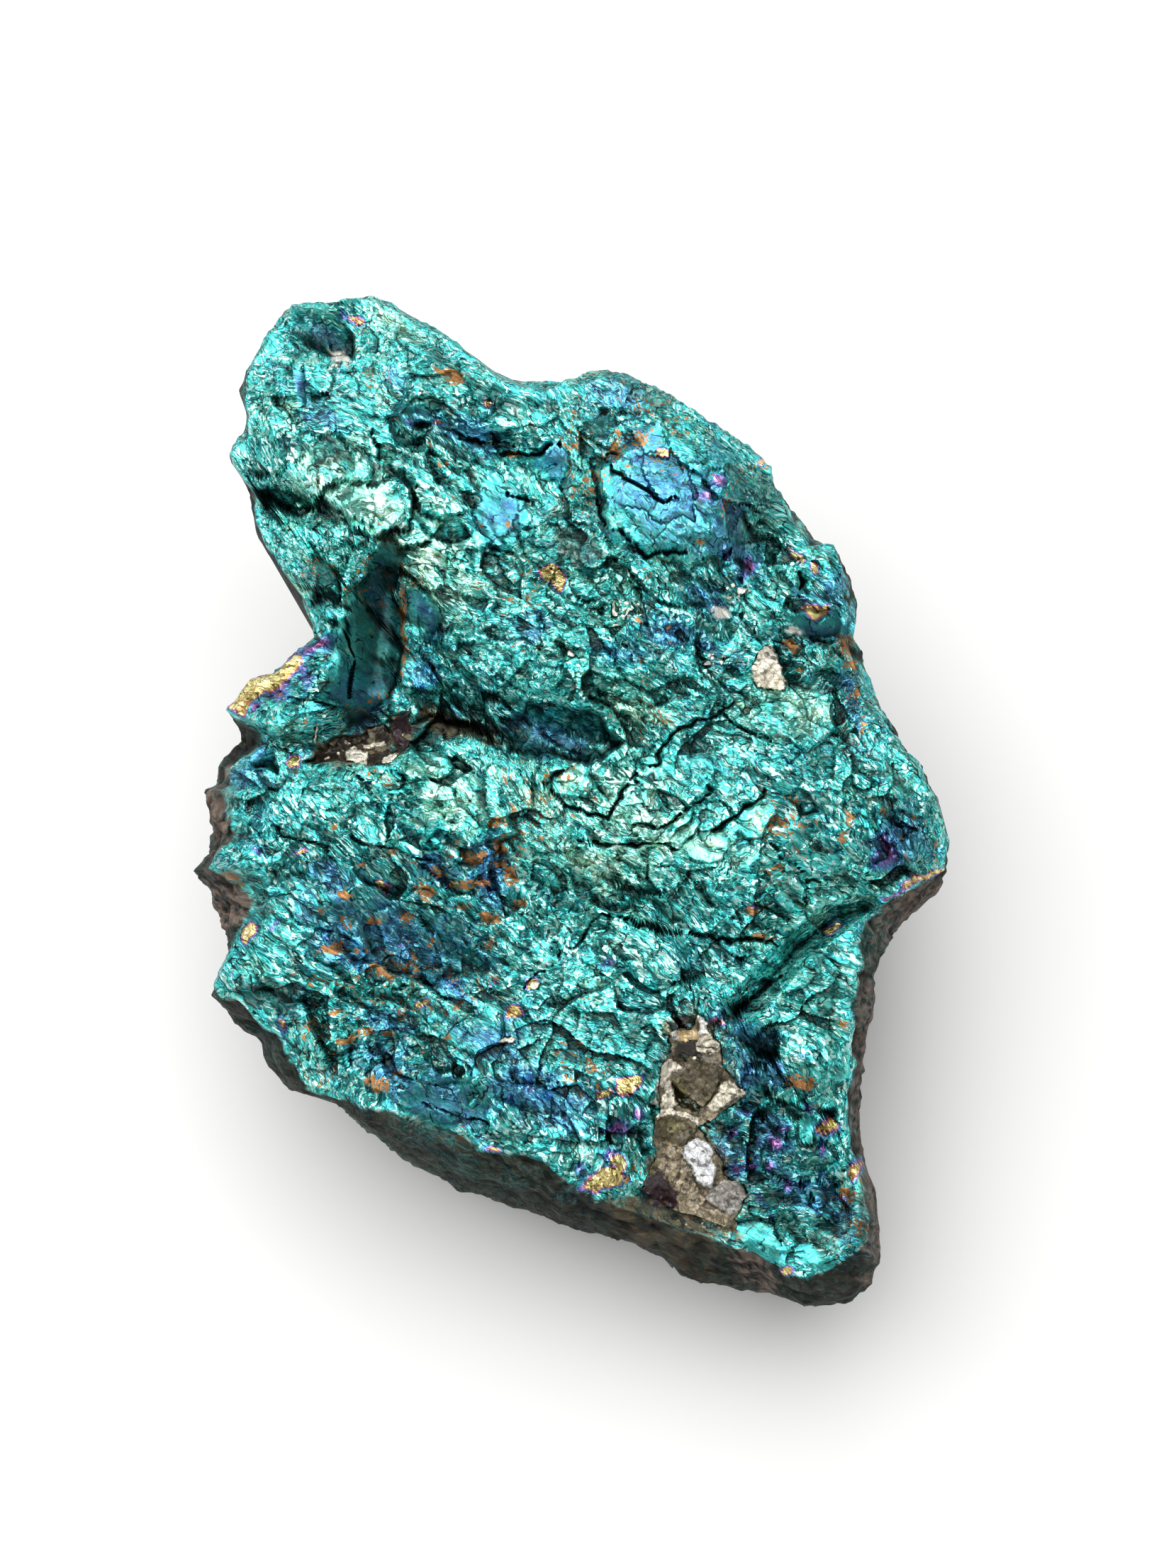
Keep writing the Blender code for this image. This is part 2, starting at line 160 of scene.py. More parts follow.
# Plates of the face: spots, each with the bearing and the angle of its fall, its height and how smooth it is
FACETS = [
    (-13.6, 23.0, 1.8, 0.94, -40, -60, 24, -0.35, 0.5), (-14.6, 20.4, 0.9, 0.32, -72, -20, 28, -0.1, 0.8),
    (-8.6, 19.2, 1.15, 0.29, 0, -90, 26, -0.15, 0.7), (-10.9, 14.1, 1.58, 1.37, 0, 115, 10, 0.25, 0.35),
    (-11.8, 15.9, 0.79, 0.72, 0, 100, 14, 0.1, 0.4), (-4.5, 13.7, 1.37, 1.8, -10, 60, 6, 0.1, 0.75),
    (-2.0, 16.4, 1.15, 0.94, 0, 80, 8, 0.05, 0.6), (-7.4, 13.1, 1.44, 0.58, -20, -80, 28, -0.3, 0.5),
    (-10.4, 10.7, 1.9, 0.8, 75, -30, 12, -0.15, 0.9), (-11.3, 6.7, 3.6, 1.75, 80, -20, 9, -0.2, 0.9),
    (-8.3, 8.6, 1.4, 0.8, -55, -35, 12, 0.05, 0.8), (-15.5, 14.4, 1.51, 0.54, -15, -80, 32, -0.45, 0.4),
    (-14.3, 9.9, 0.72, 0.58, -50, 120, 20, 0.1, 0.3), (-12.7, 8.8, 0.79, 0.5, 10, 110, 18, 0.1, 0.3),
    (-13.2, 10.4, 1.15, 0.43, -60, -45, 30, -0.2, 0.6), (4.2, 14.5, 3.46, 3.02, -20, 50, 5, 0.45, 0.6),
    (7.4, 13.5, 2.59, 0.43, -82, -20, 14, 0, 0.4), (11.8, 8.1, 1.44, 0.72, -10, -70, 20, 0.1, 0.9),
    (-1.7, 2.6, 3.02, 1.22, -10, -75, 20, -0.5, 0.35), (-6.8, 3.8, 2.16, 0.86, -24, -80, 24, -0.35, 0.4),
    (-1.0, 0.2, 1.15, 0.79, 10, 110, 15, 0.1, 0.4), (4.4, 0.6, 1.94, 1.3, -15, 105, 11, 0.15, 0.25),
    (8.4, -1.7, 0.86, 0.86, 0, 110, 14, 0.1, 0.5), (4.9, -2.3, 0.79, 0.58, 20, 115, 16, 0.1, 0.4),
    (6.2, -3.2, 0.94, 0.72, -10, 110, 14, 0.1, 0.4), (10.8, 3.6, 1.8, 1.3, -30, 100, 12, 0.15, 0.3),
    (10.5, -0.7, 1.08, 0.47, -30, -70, 28, -0.2, 0.3), (-6.6, -1.0, 2.81, 1.8, -30, 110, 12, 0.2, 0.2),
    (-8.3, 0.9, 1.22, 0.72, -10, 105, 18, 0.15, 0.45), (-16.1, 3.6, 1.3, 1.08, 0, 90, 8, 0.3, 0.1),
    (-16.8, 1.8, 1.37, 0.65, -55, -120, 32, -0.2, 0.6), (-18.7, -1.2, 0.79, 1.37, 0, -150, 22, 0, 0.6),
    (-18.0, -5.6, 1.01, 1.58, 20, -160, 22, 0, 0.6), (-7.1, -16.1, 2.23, 1.3, -10, -100, 10, 0.1, 0.6),
    (-6.6, -11.7, 2.3, 1.51, -30, 110, 12, 0.15, 0.2), (-9.7, -7.7, 4.32, 1.8, -20, -95, 12, -0.2, 0.3),
    (8.8, -23.4, 1.8, 0.83, -40, 110, 18, 0.1, 0.85), (11.6, -24.1, 1.15, 0.47, -20, 115, 18, 0.1, 0.8),
    (11.3, -17.6, 0.5, 0.72, 0, 100, 18, 0.1, 0.8), (12.8, -14.8, 0.4, 0.4, 0, 110, 20, 0.1, 0.8),
    (8.3, -12.6, 1.66, 0.79, -40, -60, 22, -0.15, 0.5), (3.5, -20.7, 0.94, 1.15, 0, -100, 26, -0.1, 0.6),
    (15.9, 0.5, 2.23, 0.94, -60, 60, 14, 0, 0.25), (14.9, -3.8, 0.79, 1.15, 0, 60, 8, 0, 0.2),
    (14.8, -7.3, 1.08, 0.58, 20, -50, 25, 0, 0.6), (0.6, 18.1, 0.5, 0.5, 0, -100, 24, -0.1, 0.6),
    (6.9, 15.3, 1.08, 0.79, 0, 60, 6, 0, 0.4), (9.7, -8.8, 2.16, 1.44, -20, 95, 10, 0.2, 0.2),
    (-3.9, 6.3, 2.52, 1.22, -20, 100, 8, 0.1, 0.1), (1.8, 5.3, 2.88, 1.08, -15, -85, 12, -0.1, 0.1),
    (3.6, -17.1, 1.08, 1.44, 0, -100, 8, -0.25, 0.2),
]

# Cracks of the face: half width, depth and the points along each
CRACK_PATHS = [
    (0.14, 0.35, [-10.8, 19.0, -10.9, 17.9, -10.7, 16.3]),
    (0.18, 0.45, [-8.3, 16.2, -8.7, 15.1, -8.8, 14.1, -9.2, 13.1, -10.1, 12.5]),
    (0.11, 0.25, [-6.5, 17.5, -4.3, 17.3, -1.5, 17.2]), (0.32, 0.8, [-4.4, 16.7, -3.0, 16.9, -1.5, 17.2]),
    (0.25, 0.6, [-4.1, 14.9, -3.3, 14.6, -2.7, 14.2]),
    (0.14, 0.45, [0.9, 17.1, 1.2, 16.2, 2.0, 15.4, 2.8, 15.1, 3.6, 14.7, 4.4, 14.3]),
    (0.22, 0.5, [0.3, 15.0, 0.4, 14.2, 1.1, 13.0, 2.8, 11.7, 3.1, 11.4, 4.7, 11.7, 6.2, 11.5, 7.3, 12.0]),
    (0.14, 0.35, [7.6, 14.1, 8.3, 14.0, 9.0, 13.8]),
    (0.18, 0.5, [10.6, 10.8, 11.0, 10.2, 10.7, 9.4, 10.2, 8.9]),
    (0.14, 0.4, [9.2, 7.2, 9.7, 6.3, 10.1, 4.8]), (0.14, 0.35, [-2.3, -0.1, -1.4, 0.6, -0.4, 1.2]),
    (0.18, 0.45, [-2.2, -0.5, -0.3, -1.2, 0.9, -1.6, 1.6, -0.9, 2.2, 0.2, 3.3, 1.2, 4.7, 2.7, 7.4, 4.1]),
    (0.22, 0.5, [-0.3, -2.9, 2.0, -3.2, 3.6, -2.9, 4.9, -3.5]),
    (0.22, 0.5, [2.4, -2.2, 4.2, -2.0, 5.5, -0.9, 6.2, -0.5]),
    (0.22, 0.5, [6.2, -2.4, 8.0, -1.0, 8.9, -0.5]),
    (0.14, 0.35, [9.3, -2.9, 10.0, -3.8, 11.2, -4.7, 11.9, -5.1]),
    (0.14, 0.35, [6.5, 3.8, 7.9, 3.0, 9.4, 2.0]),
    (0.22, 0.6, [0.8, -6.4, 1.8, -6.9, 3.6, -7.3, 5.6, -7.7, 7.8, -7.9, 9.4, -8.2, 10.6, -8.9]),
    (0.22, 0.6, [10.6, -8.9, 9.4, -10.0, 7.8, -11.1, 7.2, -11.7]),
    (0.11, 0.25, [0.8, -6.4, -0.3, -7.6, -1.7, -9.1, -3.8, -10.8]),
    (0.1, 0.25, [4.7, -8.8, 5.5, -10.7, 5.8, -11.6]), (0.09, 0.15, [3.8, -9.4, 4.9, -10.2, 5.6, -11.5]),
    (0.14, 0.35, [-12.2, 8.1, -12.1, 7.0, -11.9, 5.8, -12.0, 4.4]),
    (0.29, 0.8, [-14.0, 1.1, -12.9, 1.7, -11.7, 2.2, -10.2, 2.7, -8.6, 3.2]),
    (0.29, 0.7, [-8.6, 3.2, -7.4, 3.4, -5.9, 3.0, -5.0, 2.4]),
    (0.14, 0.3, [-11.9, -2.7, -9.7, -3.4, -7.9, -3.9]), (0.14, 0.3, [-15.8, -2.3, -14.0, -3.0, -12.6, -3.8]),
    (0.18, 0.4, [-8.3, -16.3, -6.8, -16.9, -5.0, -17.4]), (0.1, 0.2, [2.5, -10.8, 3.6, -12.0, 4.2, -13.3]),
    (0.14, 0.35, [10.1, -17.8, 10.5, -19.6, 11.5, -21.4]),
]
CRACKS = [(half_width, depth, pairs(path)) for half_width, depth, path in CRACK_PATHS]

# Spots where the film is thinnest, and where it is worn through to copper
GOLD = [
    (-7.6, 18.3, 0.22, 0.14, 0), (-11.8, 23.7, 0.47, 0.18, -10), (-5.1, 19.4, 0.25, 0.18, 0),
    (-1.7, 10.4, 0.72, 0.43, -20), (3.9, 16.8, 0.36, 0.22, -5), (8.7, 16.2, 0.25, 0.18, 0),
    (10.5, 11.7, 0.54, 0.18, -45), (11.5, 11.1, 0.4, 0.18, -50), (11.4, 8.9, 0.68, 0.29, -5),
    (-17.6, 4.2, 0.7, 0.55, 45), (-17.0, 5.0, 0.7, 0.6, 35), (-16.2, 5.4, 0.75, 0.55, 12),
    (-15.5, 5.7, 0.65, 0.55, 30), (-15.1, 6.3, 0.65, 0.55, 75), (-15.0, 6.9, 0.5, 0.45, 60),
    (-15.0, 1.3, 0.54, 0.36, 0), (-17.3, -7.6, 0.54, 0.29, 60), (-14.6, -3.6, 0.32, 0.18, 30),
    (-10.0, -5.3, 0.29, 0.22, 0), (-6.7, -5.1, 0.43, 0.18, 0), (-8.3, -11.2, 0.32, 0.25, 0),
    (-3.7, -11.5, 0.47, 0.29, 20), (-2.7, -10.2, 0.36, 0.29, 0), (-15.6, -12.1, 0.22, 0.32, 0),
    (2.0, -15.3, 0.75, 0.45, 25), (0.7, -15.8, 0.5, 0.25, 10), (0.8, -20.1, 1.05, 0.5, 15),
    (1.6, -19.2, 0.32, 0.43, 0), (-4.8, -18.5, 0.5, 0.18, -10), (12.3, -17.5, 0.43, 0.43, -40),
    (12.2, -7.4, 0.54, 0.18, 30), (6.5, -12.0, 0.43, 0.18, -20), (16.9, -4.9, 1.44, 0.14, 22),
    (10.2, -24.6, 0.29, 0.22, 0), (13.7, -19.6, 0.22, 0.5, 0), (4.7, -12.8, 0.5, 0.22, 20),
    (8.3, -6.4, 0.25, 0.18, 0), (-4.7, -10.0, 0.25, 0.14, 0), (-10.7, -5.0, 0.29, 0.18, 0),
]
# Copper: half length, half width and direction, and the middles of the specks of that size
COPPER_SPECKS = [
    (0.2, 0.12, 0, [-9.9, -3.6, -6.9, -9.4, -10.2, -12.6]),
    (0.15, 0.15, 0, [-8.9, -4.1, -5.0, -8.1, -13.6, -6.3, -8.4, -13.6]), (0.12, 0.2, 0, [-7.0, -3.7]),
    (0.2, 0.15, 0, [-6.4, -6.1, -11.7, -8.3]),
    (0.15, 0.12, 0, [-10.9, -7.0, -8.0, -8.0, -12.9, -11.5, 0.2, 14.9]), (0.15, 0.2, 0, [-3.4, -6.0]),
    (0.12, 0.12, 0, [-7.2, -12.9]), (0.4, 0.8, 20, [-18.1, -5.2]), (0.1, 1.8, 0, [-9.4, 7.5]),
    (0.3, 0.35, 0, [-4.0, -4.6]), (0.3, 0.25, 0, [-5.9, -3.9]),
    (0.29, 0.18, 0, [-3.9, 16.7, -12.4, -5.5, -12.6, -8.6, -7.5, -4.5]), (0.65, 0.25, -20, [-7.0, 20.8]),
    (0.22, 0.18, 0, [-4.0, 13.2, -10.8, -9.5, 13.0, -2.7, 8.3, -6.6]), (0.14, 0.11, 0, [-5.3, 13.1]),
    (0.18, 0.14, 0, [-10.4, 13.4, 14.9, -1.4]),
    (0.25, 0.18, 0, [2.5, 17.4, -12.8, -2.3, -4.6, -4.1, -5.5, -4.8]), (0.18, 0.22, 0, [1.2, 17.0]),
    (0.14, 0.14, 0, [5.8, 12.5]), (0.4, 0.22, -10, [10.4, 6.9]),
    (0.22, 0.14, 0, [10.7, 5.9, -9.7, -9.0, -10.2, -9.7]), (0.32, 0.47, 0, [13.0, 7.1]),
    (0.29, 0.25, 0, [13.3, 6.3, -9.2, -6.9]), (0.18, 0.29, 0, [13.6, 4.5]),
    (0.18, 0.18, 0, [-11.6, -4.0, -14.0, -12.0, -4.7, -1.9]), (0.29, 0.22, 0, [-12.3, -7.1]),
    (0.5, 0.18, 0, [-5.2, -6.8]), (0.47, 0.25, 0, [-13.2, -8.3]), (0.32, 0.22, 0, [-4.4, -3.1]),
    (0.4, 0.25, 0, [-8.3, -5.4]), (0.47, 0.32, 0, [-10.8, -15.1]), (0.32, 0.14, 0, [-9.8, -14.5]),
    (0.43, 0.18, 20, [-11.5, -12.7]), (0.4, 0.22, 0, [-12.2, -13.0]),
    (0.5, 0.25, -10, [-9.2, -9.3, 10.8, -15.2]), (0.22, 0.29, 0, [12.9, -12.3]),
    (0.18, 0.36, 0, [13.1, -1.7]), (0.54, 0.14, -10, [9.2, -7.9]), (0.32, 0.18, 0, [-6.0, -5.0]),
    (0.25, 0.14, 0, [-6.5, -3.0]),
]
COPPER = [(u, v, *size) for *size, places in COPPER_SPECKS for u, v in pairs(places)]

# Spots of violet, blue and pale mint film
VIOLET = [
    (-9.3, 18.4, 0.25, 0.22, 0), (-12.6, 23.8, 0.43, 0.32, 0), (5.9, 14.6, 0.5, 0.35, -20),
    (6.6, 15.4, 0.4, 0.3, -50), (6.9, 14.3, 0.25, 0.3, 0), (8.1, 10.9, 0.35, 0.45, -40),
    (7.0, 11.9, 0.25, 0.3, 0), (9.9, -17.3, 0.35, 0.25, 0), (8.7, -16.9, 0.3, 0.25, 0),
    (10.3, -20.2, 0.4, 0.2, -40), (9.3, -22.0, 0.4, 0.2, -40), (7.9, -16.7, 0.3, 0.2, 0),
    (12.0, -18.6, 0.2, 0.4, 0), (8.5, -18.0, 0.35, 0.15, -50), (9.2, -19.4, 0.3, 0.2, -40),
    (10.9, -13.6, 0.2, 0.15, 0), (2.4, -16.6, 0.4, 0.25, 0), (-15.6, 4.7, 0.8, 0.45, -25),
    (-16.7, 4.0, 0.5, 0.3, 30), (-14.4, 5.5, 0.8, 0.45, -70), (-14.3, 6.9, 0.55, 0.5, 0),
    (-13.4, 7.1, 0.7, 0.5, 20), (-17.3, 4.2, 0.22, 0.22, 0), (14.9, -3.6, 0.72, 1.01, 20),
    (-15.6, -12.3, 0.25, 0.94, 0), (1.2, -18.9, 0.58, 0.32, 20), (-0.4, -19.7, 0.5, 0.5, 0),
    (7.6, -19.5, 0.5, 0.22, -35), (8.4, -19.2, 0.32, 0.18, -30), (9.6, -18.3, 0.32, 0.43, 60),
    (7.4, -17.8, 0.29, 0.22, 0), (11.8, -21.8, 0.25, 0.22, 0), (11.2, -16.5, 0.36, 0.43, 60),
    (8.8, -21.0, 0.79, 0.22, -35), (7.2, -20.7, 0.79, 0.5, -40), (-16.8, -3.5, 0.43, 0.22, -40),
    (-16.0, -7.3, 0.65, 0.14, 40), (1.6, -17.5, 0.79, 0.43, 0), (3.5, -20.7, 0.86, 1.01, 0),
    (10.7, 9.6, 0.22, 0.65, 30), (9.7, -14.2, 0.36, 0.25, 0), (1.1, -9.1, 0.5, 0.29, 0),
    (4.7, -12.2, 0.43, 0.22, 0), (13.0, -21.0, 0.5, 0.29, -40),
]
BLUE = [
    (12.9, -22.2, 1.4, 0.8, -60), (-6.5, 18.0, 3.0, 0.8, -15), (-13.3, 22.4, 1.5, 0.8, -45),
    (9.3, -17.6, 1.9, 0.9, -50), (10.4, -20.3, 1.5, 0.8, -50), (9.6, -14.6, 1.4, 0.7, -40),
    (3.2, 17.0, 1.8, 1.0, -20), (-8.8, -15.4, 3.4, 1.1, -30), (-3.4, -15.6, 2.0, 1.1, -30),
    (-10.6, -11.9, 1.7, 0.9, -20), (-12.2, -8.4, 2.6, 1.0, -20), (-7.5, -4.4, 1.6, 0.7, -20),
    (-13.0, -4.6, 1.6, 0.7, -20), (-7.2, -9.9, 2.0, 0.7, -30), (6.3, 9.3, 1.3, 0.8, -30),
    (-11.5, 4.0, 1.2, 1.6, 0), (-10.6, 9.9, 0.8, 1.6, 0), (11.9, 7.7, 1.3, 0.7, -10),
    (-8.2, 5.6, 0.7, 1.2, 0), (16.0, -2.6, 1.2, 1.9, 0), (8.6, -14.6, 1.6, 1.2, 0),
    (-14.6, 20.4, 0.94, 0.36, -72), (-13.5, 18.5, 1.22, 0.65, -30), (-15.2, 17.3, 0.5, 0.36, 0),
    (-9.7, 20.7, 1.08, 0.5, -20), (-8.3, 8.6, 1.58, 0.58, -62), (4.2, 14.5, 3.31, 2.88, -20),
    (1.5, 19.7, 1.8, 0.86, -20), (8.0, 11.5, 0.94, 0.94, 0), (-2.0, 16.4, 1.22, 0.94, 0),
    (-4.5, 13.7, 1.3, 1.73, -10), (-17.4, 0.3, 1.15, 0.86, 0), (-5.1, -4.4, 1.22, 1.87, 0),
    (-9.7, -7.7, 4.68, 1.8, -20), (-7.1, -16.1, 2.3, 1.3, -10), (-10.4, -14.2, 2.16, 1.08, -20),
    (-1.7, 2.5, 2.88, 1.22, -10), (-16.8, 1.8, 1.3, 0.65, -55), (7.2, 12.5, 0.72, 2.16, 0),
    (4.7, 7.4, 2.52, 0.72, -20), (1.5, 6.7, 1.8, 0.72, -10), (13.4, 4.2, 0.5, 2.16, 14),
    (8.3, -12.6, 1.8, 0.86, -30), (14.4, -7.3, 1.22, 0.5, 20), (-1.8, -16.3, 2.16, 1.44, -20),
    (12.3, -20.7, 1.08, 1.08, 0), (7.6, -19.2, 1.8, 1.44, -35), (-2.5, 8.1, 1.44, 0.79, 0),
    (12.6, 9.9, 1.44, 1.08, -50), (-4.7, -13.1, 1.44, 1.08, 0), (12.6, -7.0, 1.08, 0.43, 20),
]
MINT = [
    (-12.4, 15.2, 3.4, 2.4, -20), (-8.0, 10.5, 1.6, 2.2, 0), (-14.8, 18.6, 0.9, 1.8, 20),
    (-15.6, 7.7, 1.0, 1.8, 20), (3.4, -2.2, 4.4, 2.6, -20), (-10.9, 14.1, 1.51, 1.37, 0),
    (-11.8, 15.8, 0.86, 0.79, 0), (-8.3, 0.9, 1.3, 0.79, -10), (-1.0, 0.2, 1.08, 0.72, 0),
    (-6.6, -1.0, 2.16, 1.44, -30), (10.8, 3.6, 1.8, 1.3, -30), (8.4, -1.7, 0.86, 0.86, 0),
    (4.9, -2.3, 0.86, 0.58, 0), (6.2, -3.2, 0.94, 0.72, 0), (-9.7, 23.3, 1.8, 0.72, -30),
    (0.7, -4.1, 3.24, 1.44, -15), (2.5, 3.8, 2.16, 0.86, -20), (-14.4, 9.9, 0.72, 0.58, 0),
    (-6.8, 10.3, 1.44, 1.08, 0), (-10.2, -4.8, 1.08, 0.36, -10), (7.9, 3.8, 1.44, 1.08, 0),
    (-2.5, -0.9, 1.8, 0.72, -20),
]

# Spots without film, pits with their depth, white crust and brown earth
DULL = [
    (-18.7, -1.2, 0.72, 1.44, 0), (-18.0, -5.6, 1.08, 1.58, 20), (0.7, 13.7, 1.01, 0.29, -60),
    (0.6, 18.1, 0.5, 0.58, 0), (7.8, 13.4, 2.52, 0.5, -84), (9.0, 14.6, 1.44, 0.58, -50),
    (2.5, 20.2, 2.16, 0.43, -30), (-7.9, 3.1, 1.94, 0.5, 0), (-11.3, 2.0, 2.52, 0.72, 14),
    (14.2, -13.5, 0.36, 3.24, 0), (14.3, -21.4, 0.43, 2.88, 0), (16.6, -6.4, 1.44, 0.65, 32),
    (-12.9, 16.8, 0.72, 0.5, 0), (-0.3, 11.9, 1.08, 0.72, -30), (-13.5, 10.1, 1.01, 0.43, -60),
    (3.6, -22.1, 1.8, 1.08, -20), (-16.3, -10.6, 1.3, 0.6, -10),
]
PITS = [
    (-12.9, 21.6, 0.29, 0.22, 0, 0.5), (-8.5, 18.3, 0.5, 0.18, 0, 0.8), (-0.1, 9.1, 0.47, 0.32, 0, 0.4),
    (0.7, 8.8, 0.36, 0.29, 0, 0.4), (5.6, 6.2, 0.43, 0.32, 0, 0.4), (-1.2, 6.9, 0.36, 0.29, 0, 0.4),
    (6.2, -0.1, 0.18, 0.18, 0, 0.4), (12.4, -16.9, 0.5, 0.25, -20, 0.6), (-6.8, -18.2, 0.43, 0.94, 0, 1.2),
    (0.7, 18.6, 0.29, 0.36, 0, 0.3), (11.0, 10.3, 0.22, 0.43, 30, 0.5), (7.8, 10.5, 0.29, 0.22, 0, 0.3),
    (4.6, -15.6, 0.43, 0.5, 0, 0.6), (-15.6, 14.2, 0.94, 0.32, -15, 0.4), (8.0, -0.9, 0.32, 0.25, 0, 0.4),
    (-16.5, -10.6, 1.08, 0.29, -10, 0.5), (2.5, -17.8, 0.65, 0.36, 0, 0.4),
]
CRUST = [
    (3.7, -15.2, 0.5, 0.25, 88), (-13.2, 1.4, 0.5, 0.2, 20), (6.9, 8.6, 0.35, 0.2, 0),
    (-12.6, 21.5, 0.4, 0.25, -20), (10.3, 7.7, 0.35, 0.12, 0),
]
EARTH = [
    (4.9, -15.4, 2.5, 1.0, 88), (5.2, -20.6, 2.8, 1.8, -80), (5.0, -12.6, 1.0, 0.8, 0),
    (3.3, -22.5, 1.8, 1.1, -20), (-11.4, 2.0, 2.6, 0.6, 14), (-6.7, 3.0, 1.7, 0.5, -22),
]

# Spots in shade, each with its darkness, and the brown stretches of the walls
DARK = [
    (-11.3, 6.5, 3.3, 1.6, 80, 0.62), (-10.4, 10.6, 1.9, 0.8, 72, 0.62), (-1.7, 2.6, 3.0, 1.1, -10, 0.4),
    (-8.4, 8.7, 1.3, 0.9, -50, 0.4), (-9.0, -6.5, 4.5, 2.6, -20, 0.25), (8.6, -14.6, 2.0, 1.4, -40, 0.45),
    (8.2, -18.4, 2.2, 1.7, -60, 0.45), (9.4, -21.2, 1.8, 0.8, -40, 0.55), (12.8, 4.5, 2.6, 0.8, 100, 0.4),
    (16.0, -2.6, 1.9, 1.2, 90, 0.35), (9.97, 5.8, 1.2, 0.16, -72, 0.9), (10.5, 5.8, 1.6, 0.25, -58, 0.6),
    (-1.2, 13.6, 1.4, 0.7, 60, 0.4), (-14.6, 18.9, 1.0, 0.6, 0, 0.4), (6.2, -13.0, 2.2, 0.7, -40, 0.5),
    (-7.0, -13.5, 3.5, 2.2, -20, 0.3), (11.9, 7.8, 1.4, 0.75, -10, 0.55), (9.0, -16.4, 1.6, 0.9, -40, 0.4),
    (11.0, -19.0, 1.5, 0.7, -50, 0.35), (3.2, 12.4, 1.6, 0.7, -20, 0.25), (-16.4, -10.7, 1.2, 0.6, -10, 0.5),
    (-12.0, -5.2, 3.6, 2.0, -25, 0.25), (-9.5, -11.0, 3.4, 1.4, -25, 0.2),
    (13.0, -22.4, 1.7, 1.1, -60, 0.55), (10.9, -22.6, 1.1, 0.4, -45, 0.5), (1.6, -17.5, 1.2, 0.8, 0, 0.4),
    (-6.0, 16.7, 2.6, 0.35, -8, 0.35), (-13.2, 22.4, 1.4, 0.7, -45, 0.4),
]
WARM = [
    (-18.7, -1.0, 1.4, 1.0, 80), (-18.1, -5.6, 1.6, 1.3, 70), (14.3, -13.5, 3.8, 0.9, 88),
    (16.4, -6.4, 2.0, 1.2, 32), (14.5, -21.0, 3.2, 0.9, 88), (8.3, -24.4, 1.9, 0.5, -53),
    (-0.5, 11.9, 1.1, 0.8, -30), (10.2, -11.6, 1.6, 0.5, -35),
]

# Where the small quartz grains lie scattered
VEIN_AREAS = [(5.0, -15.6, 3.0, 0.9, 88), (5.6, -20.6, 2.4, 1.5, -75)]
GRAIN_AREAS = [(-11.3, 1.9, 2.2, 0.5, 12), (1.8, 8.8, 1.0, 0.5, 0), (6.4, 6.3, 0.8, 0.3, 10),
               (7.6, 9.9, 0.7, 0.4, 30), (-12.7, 21.4, 0.5, 0.3, 0)]

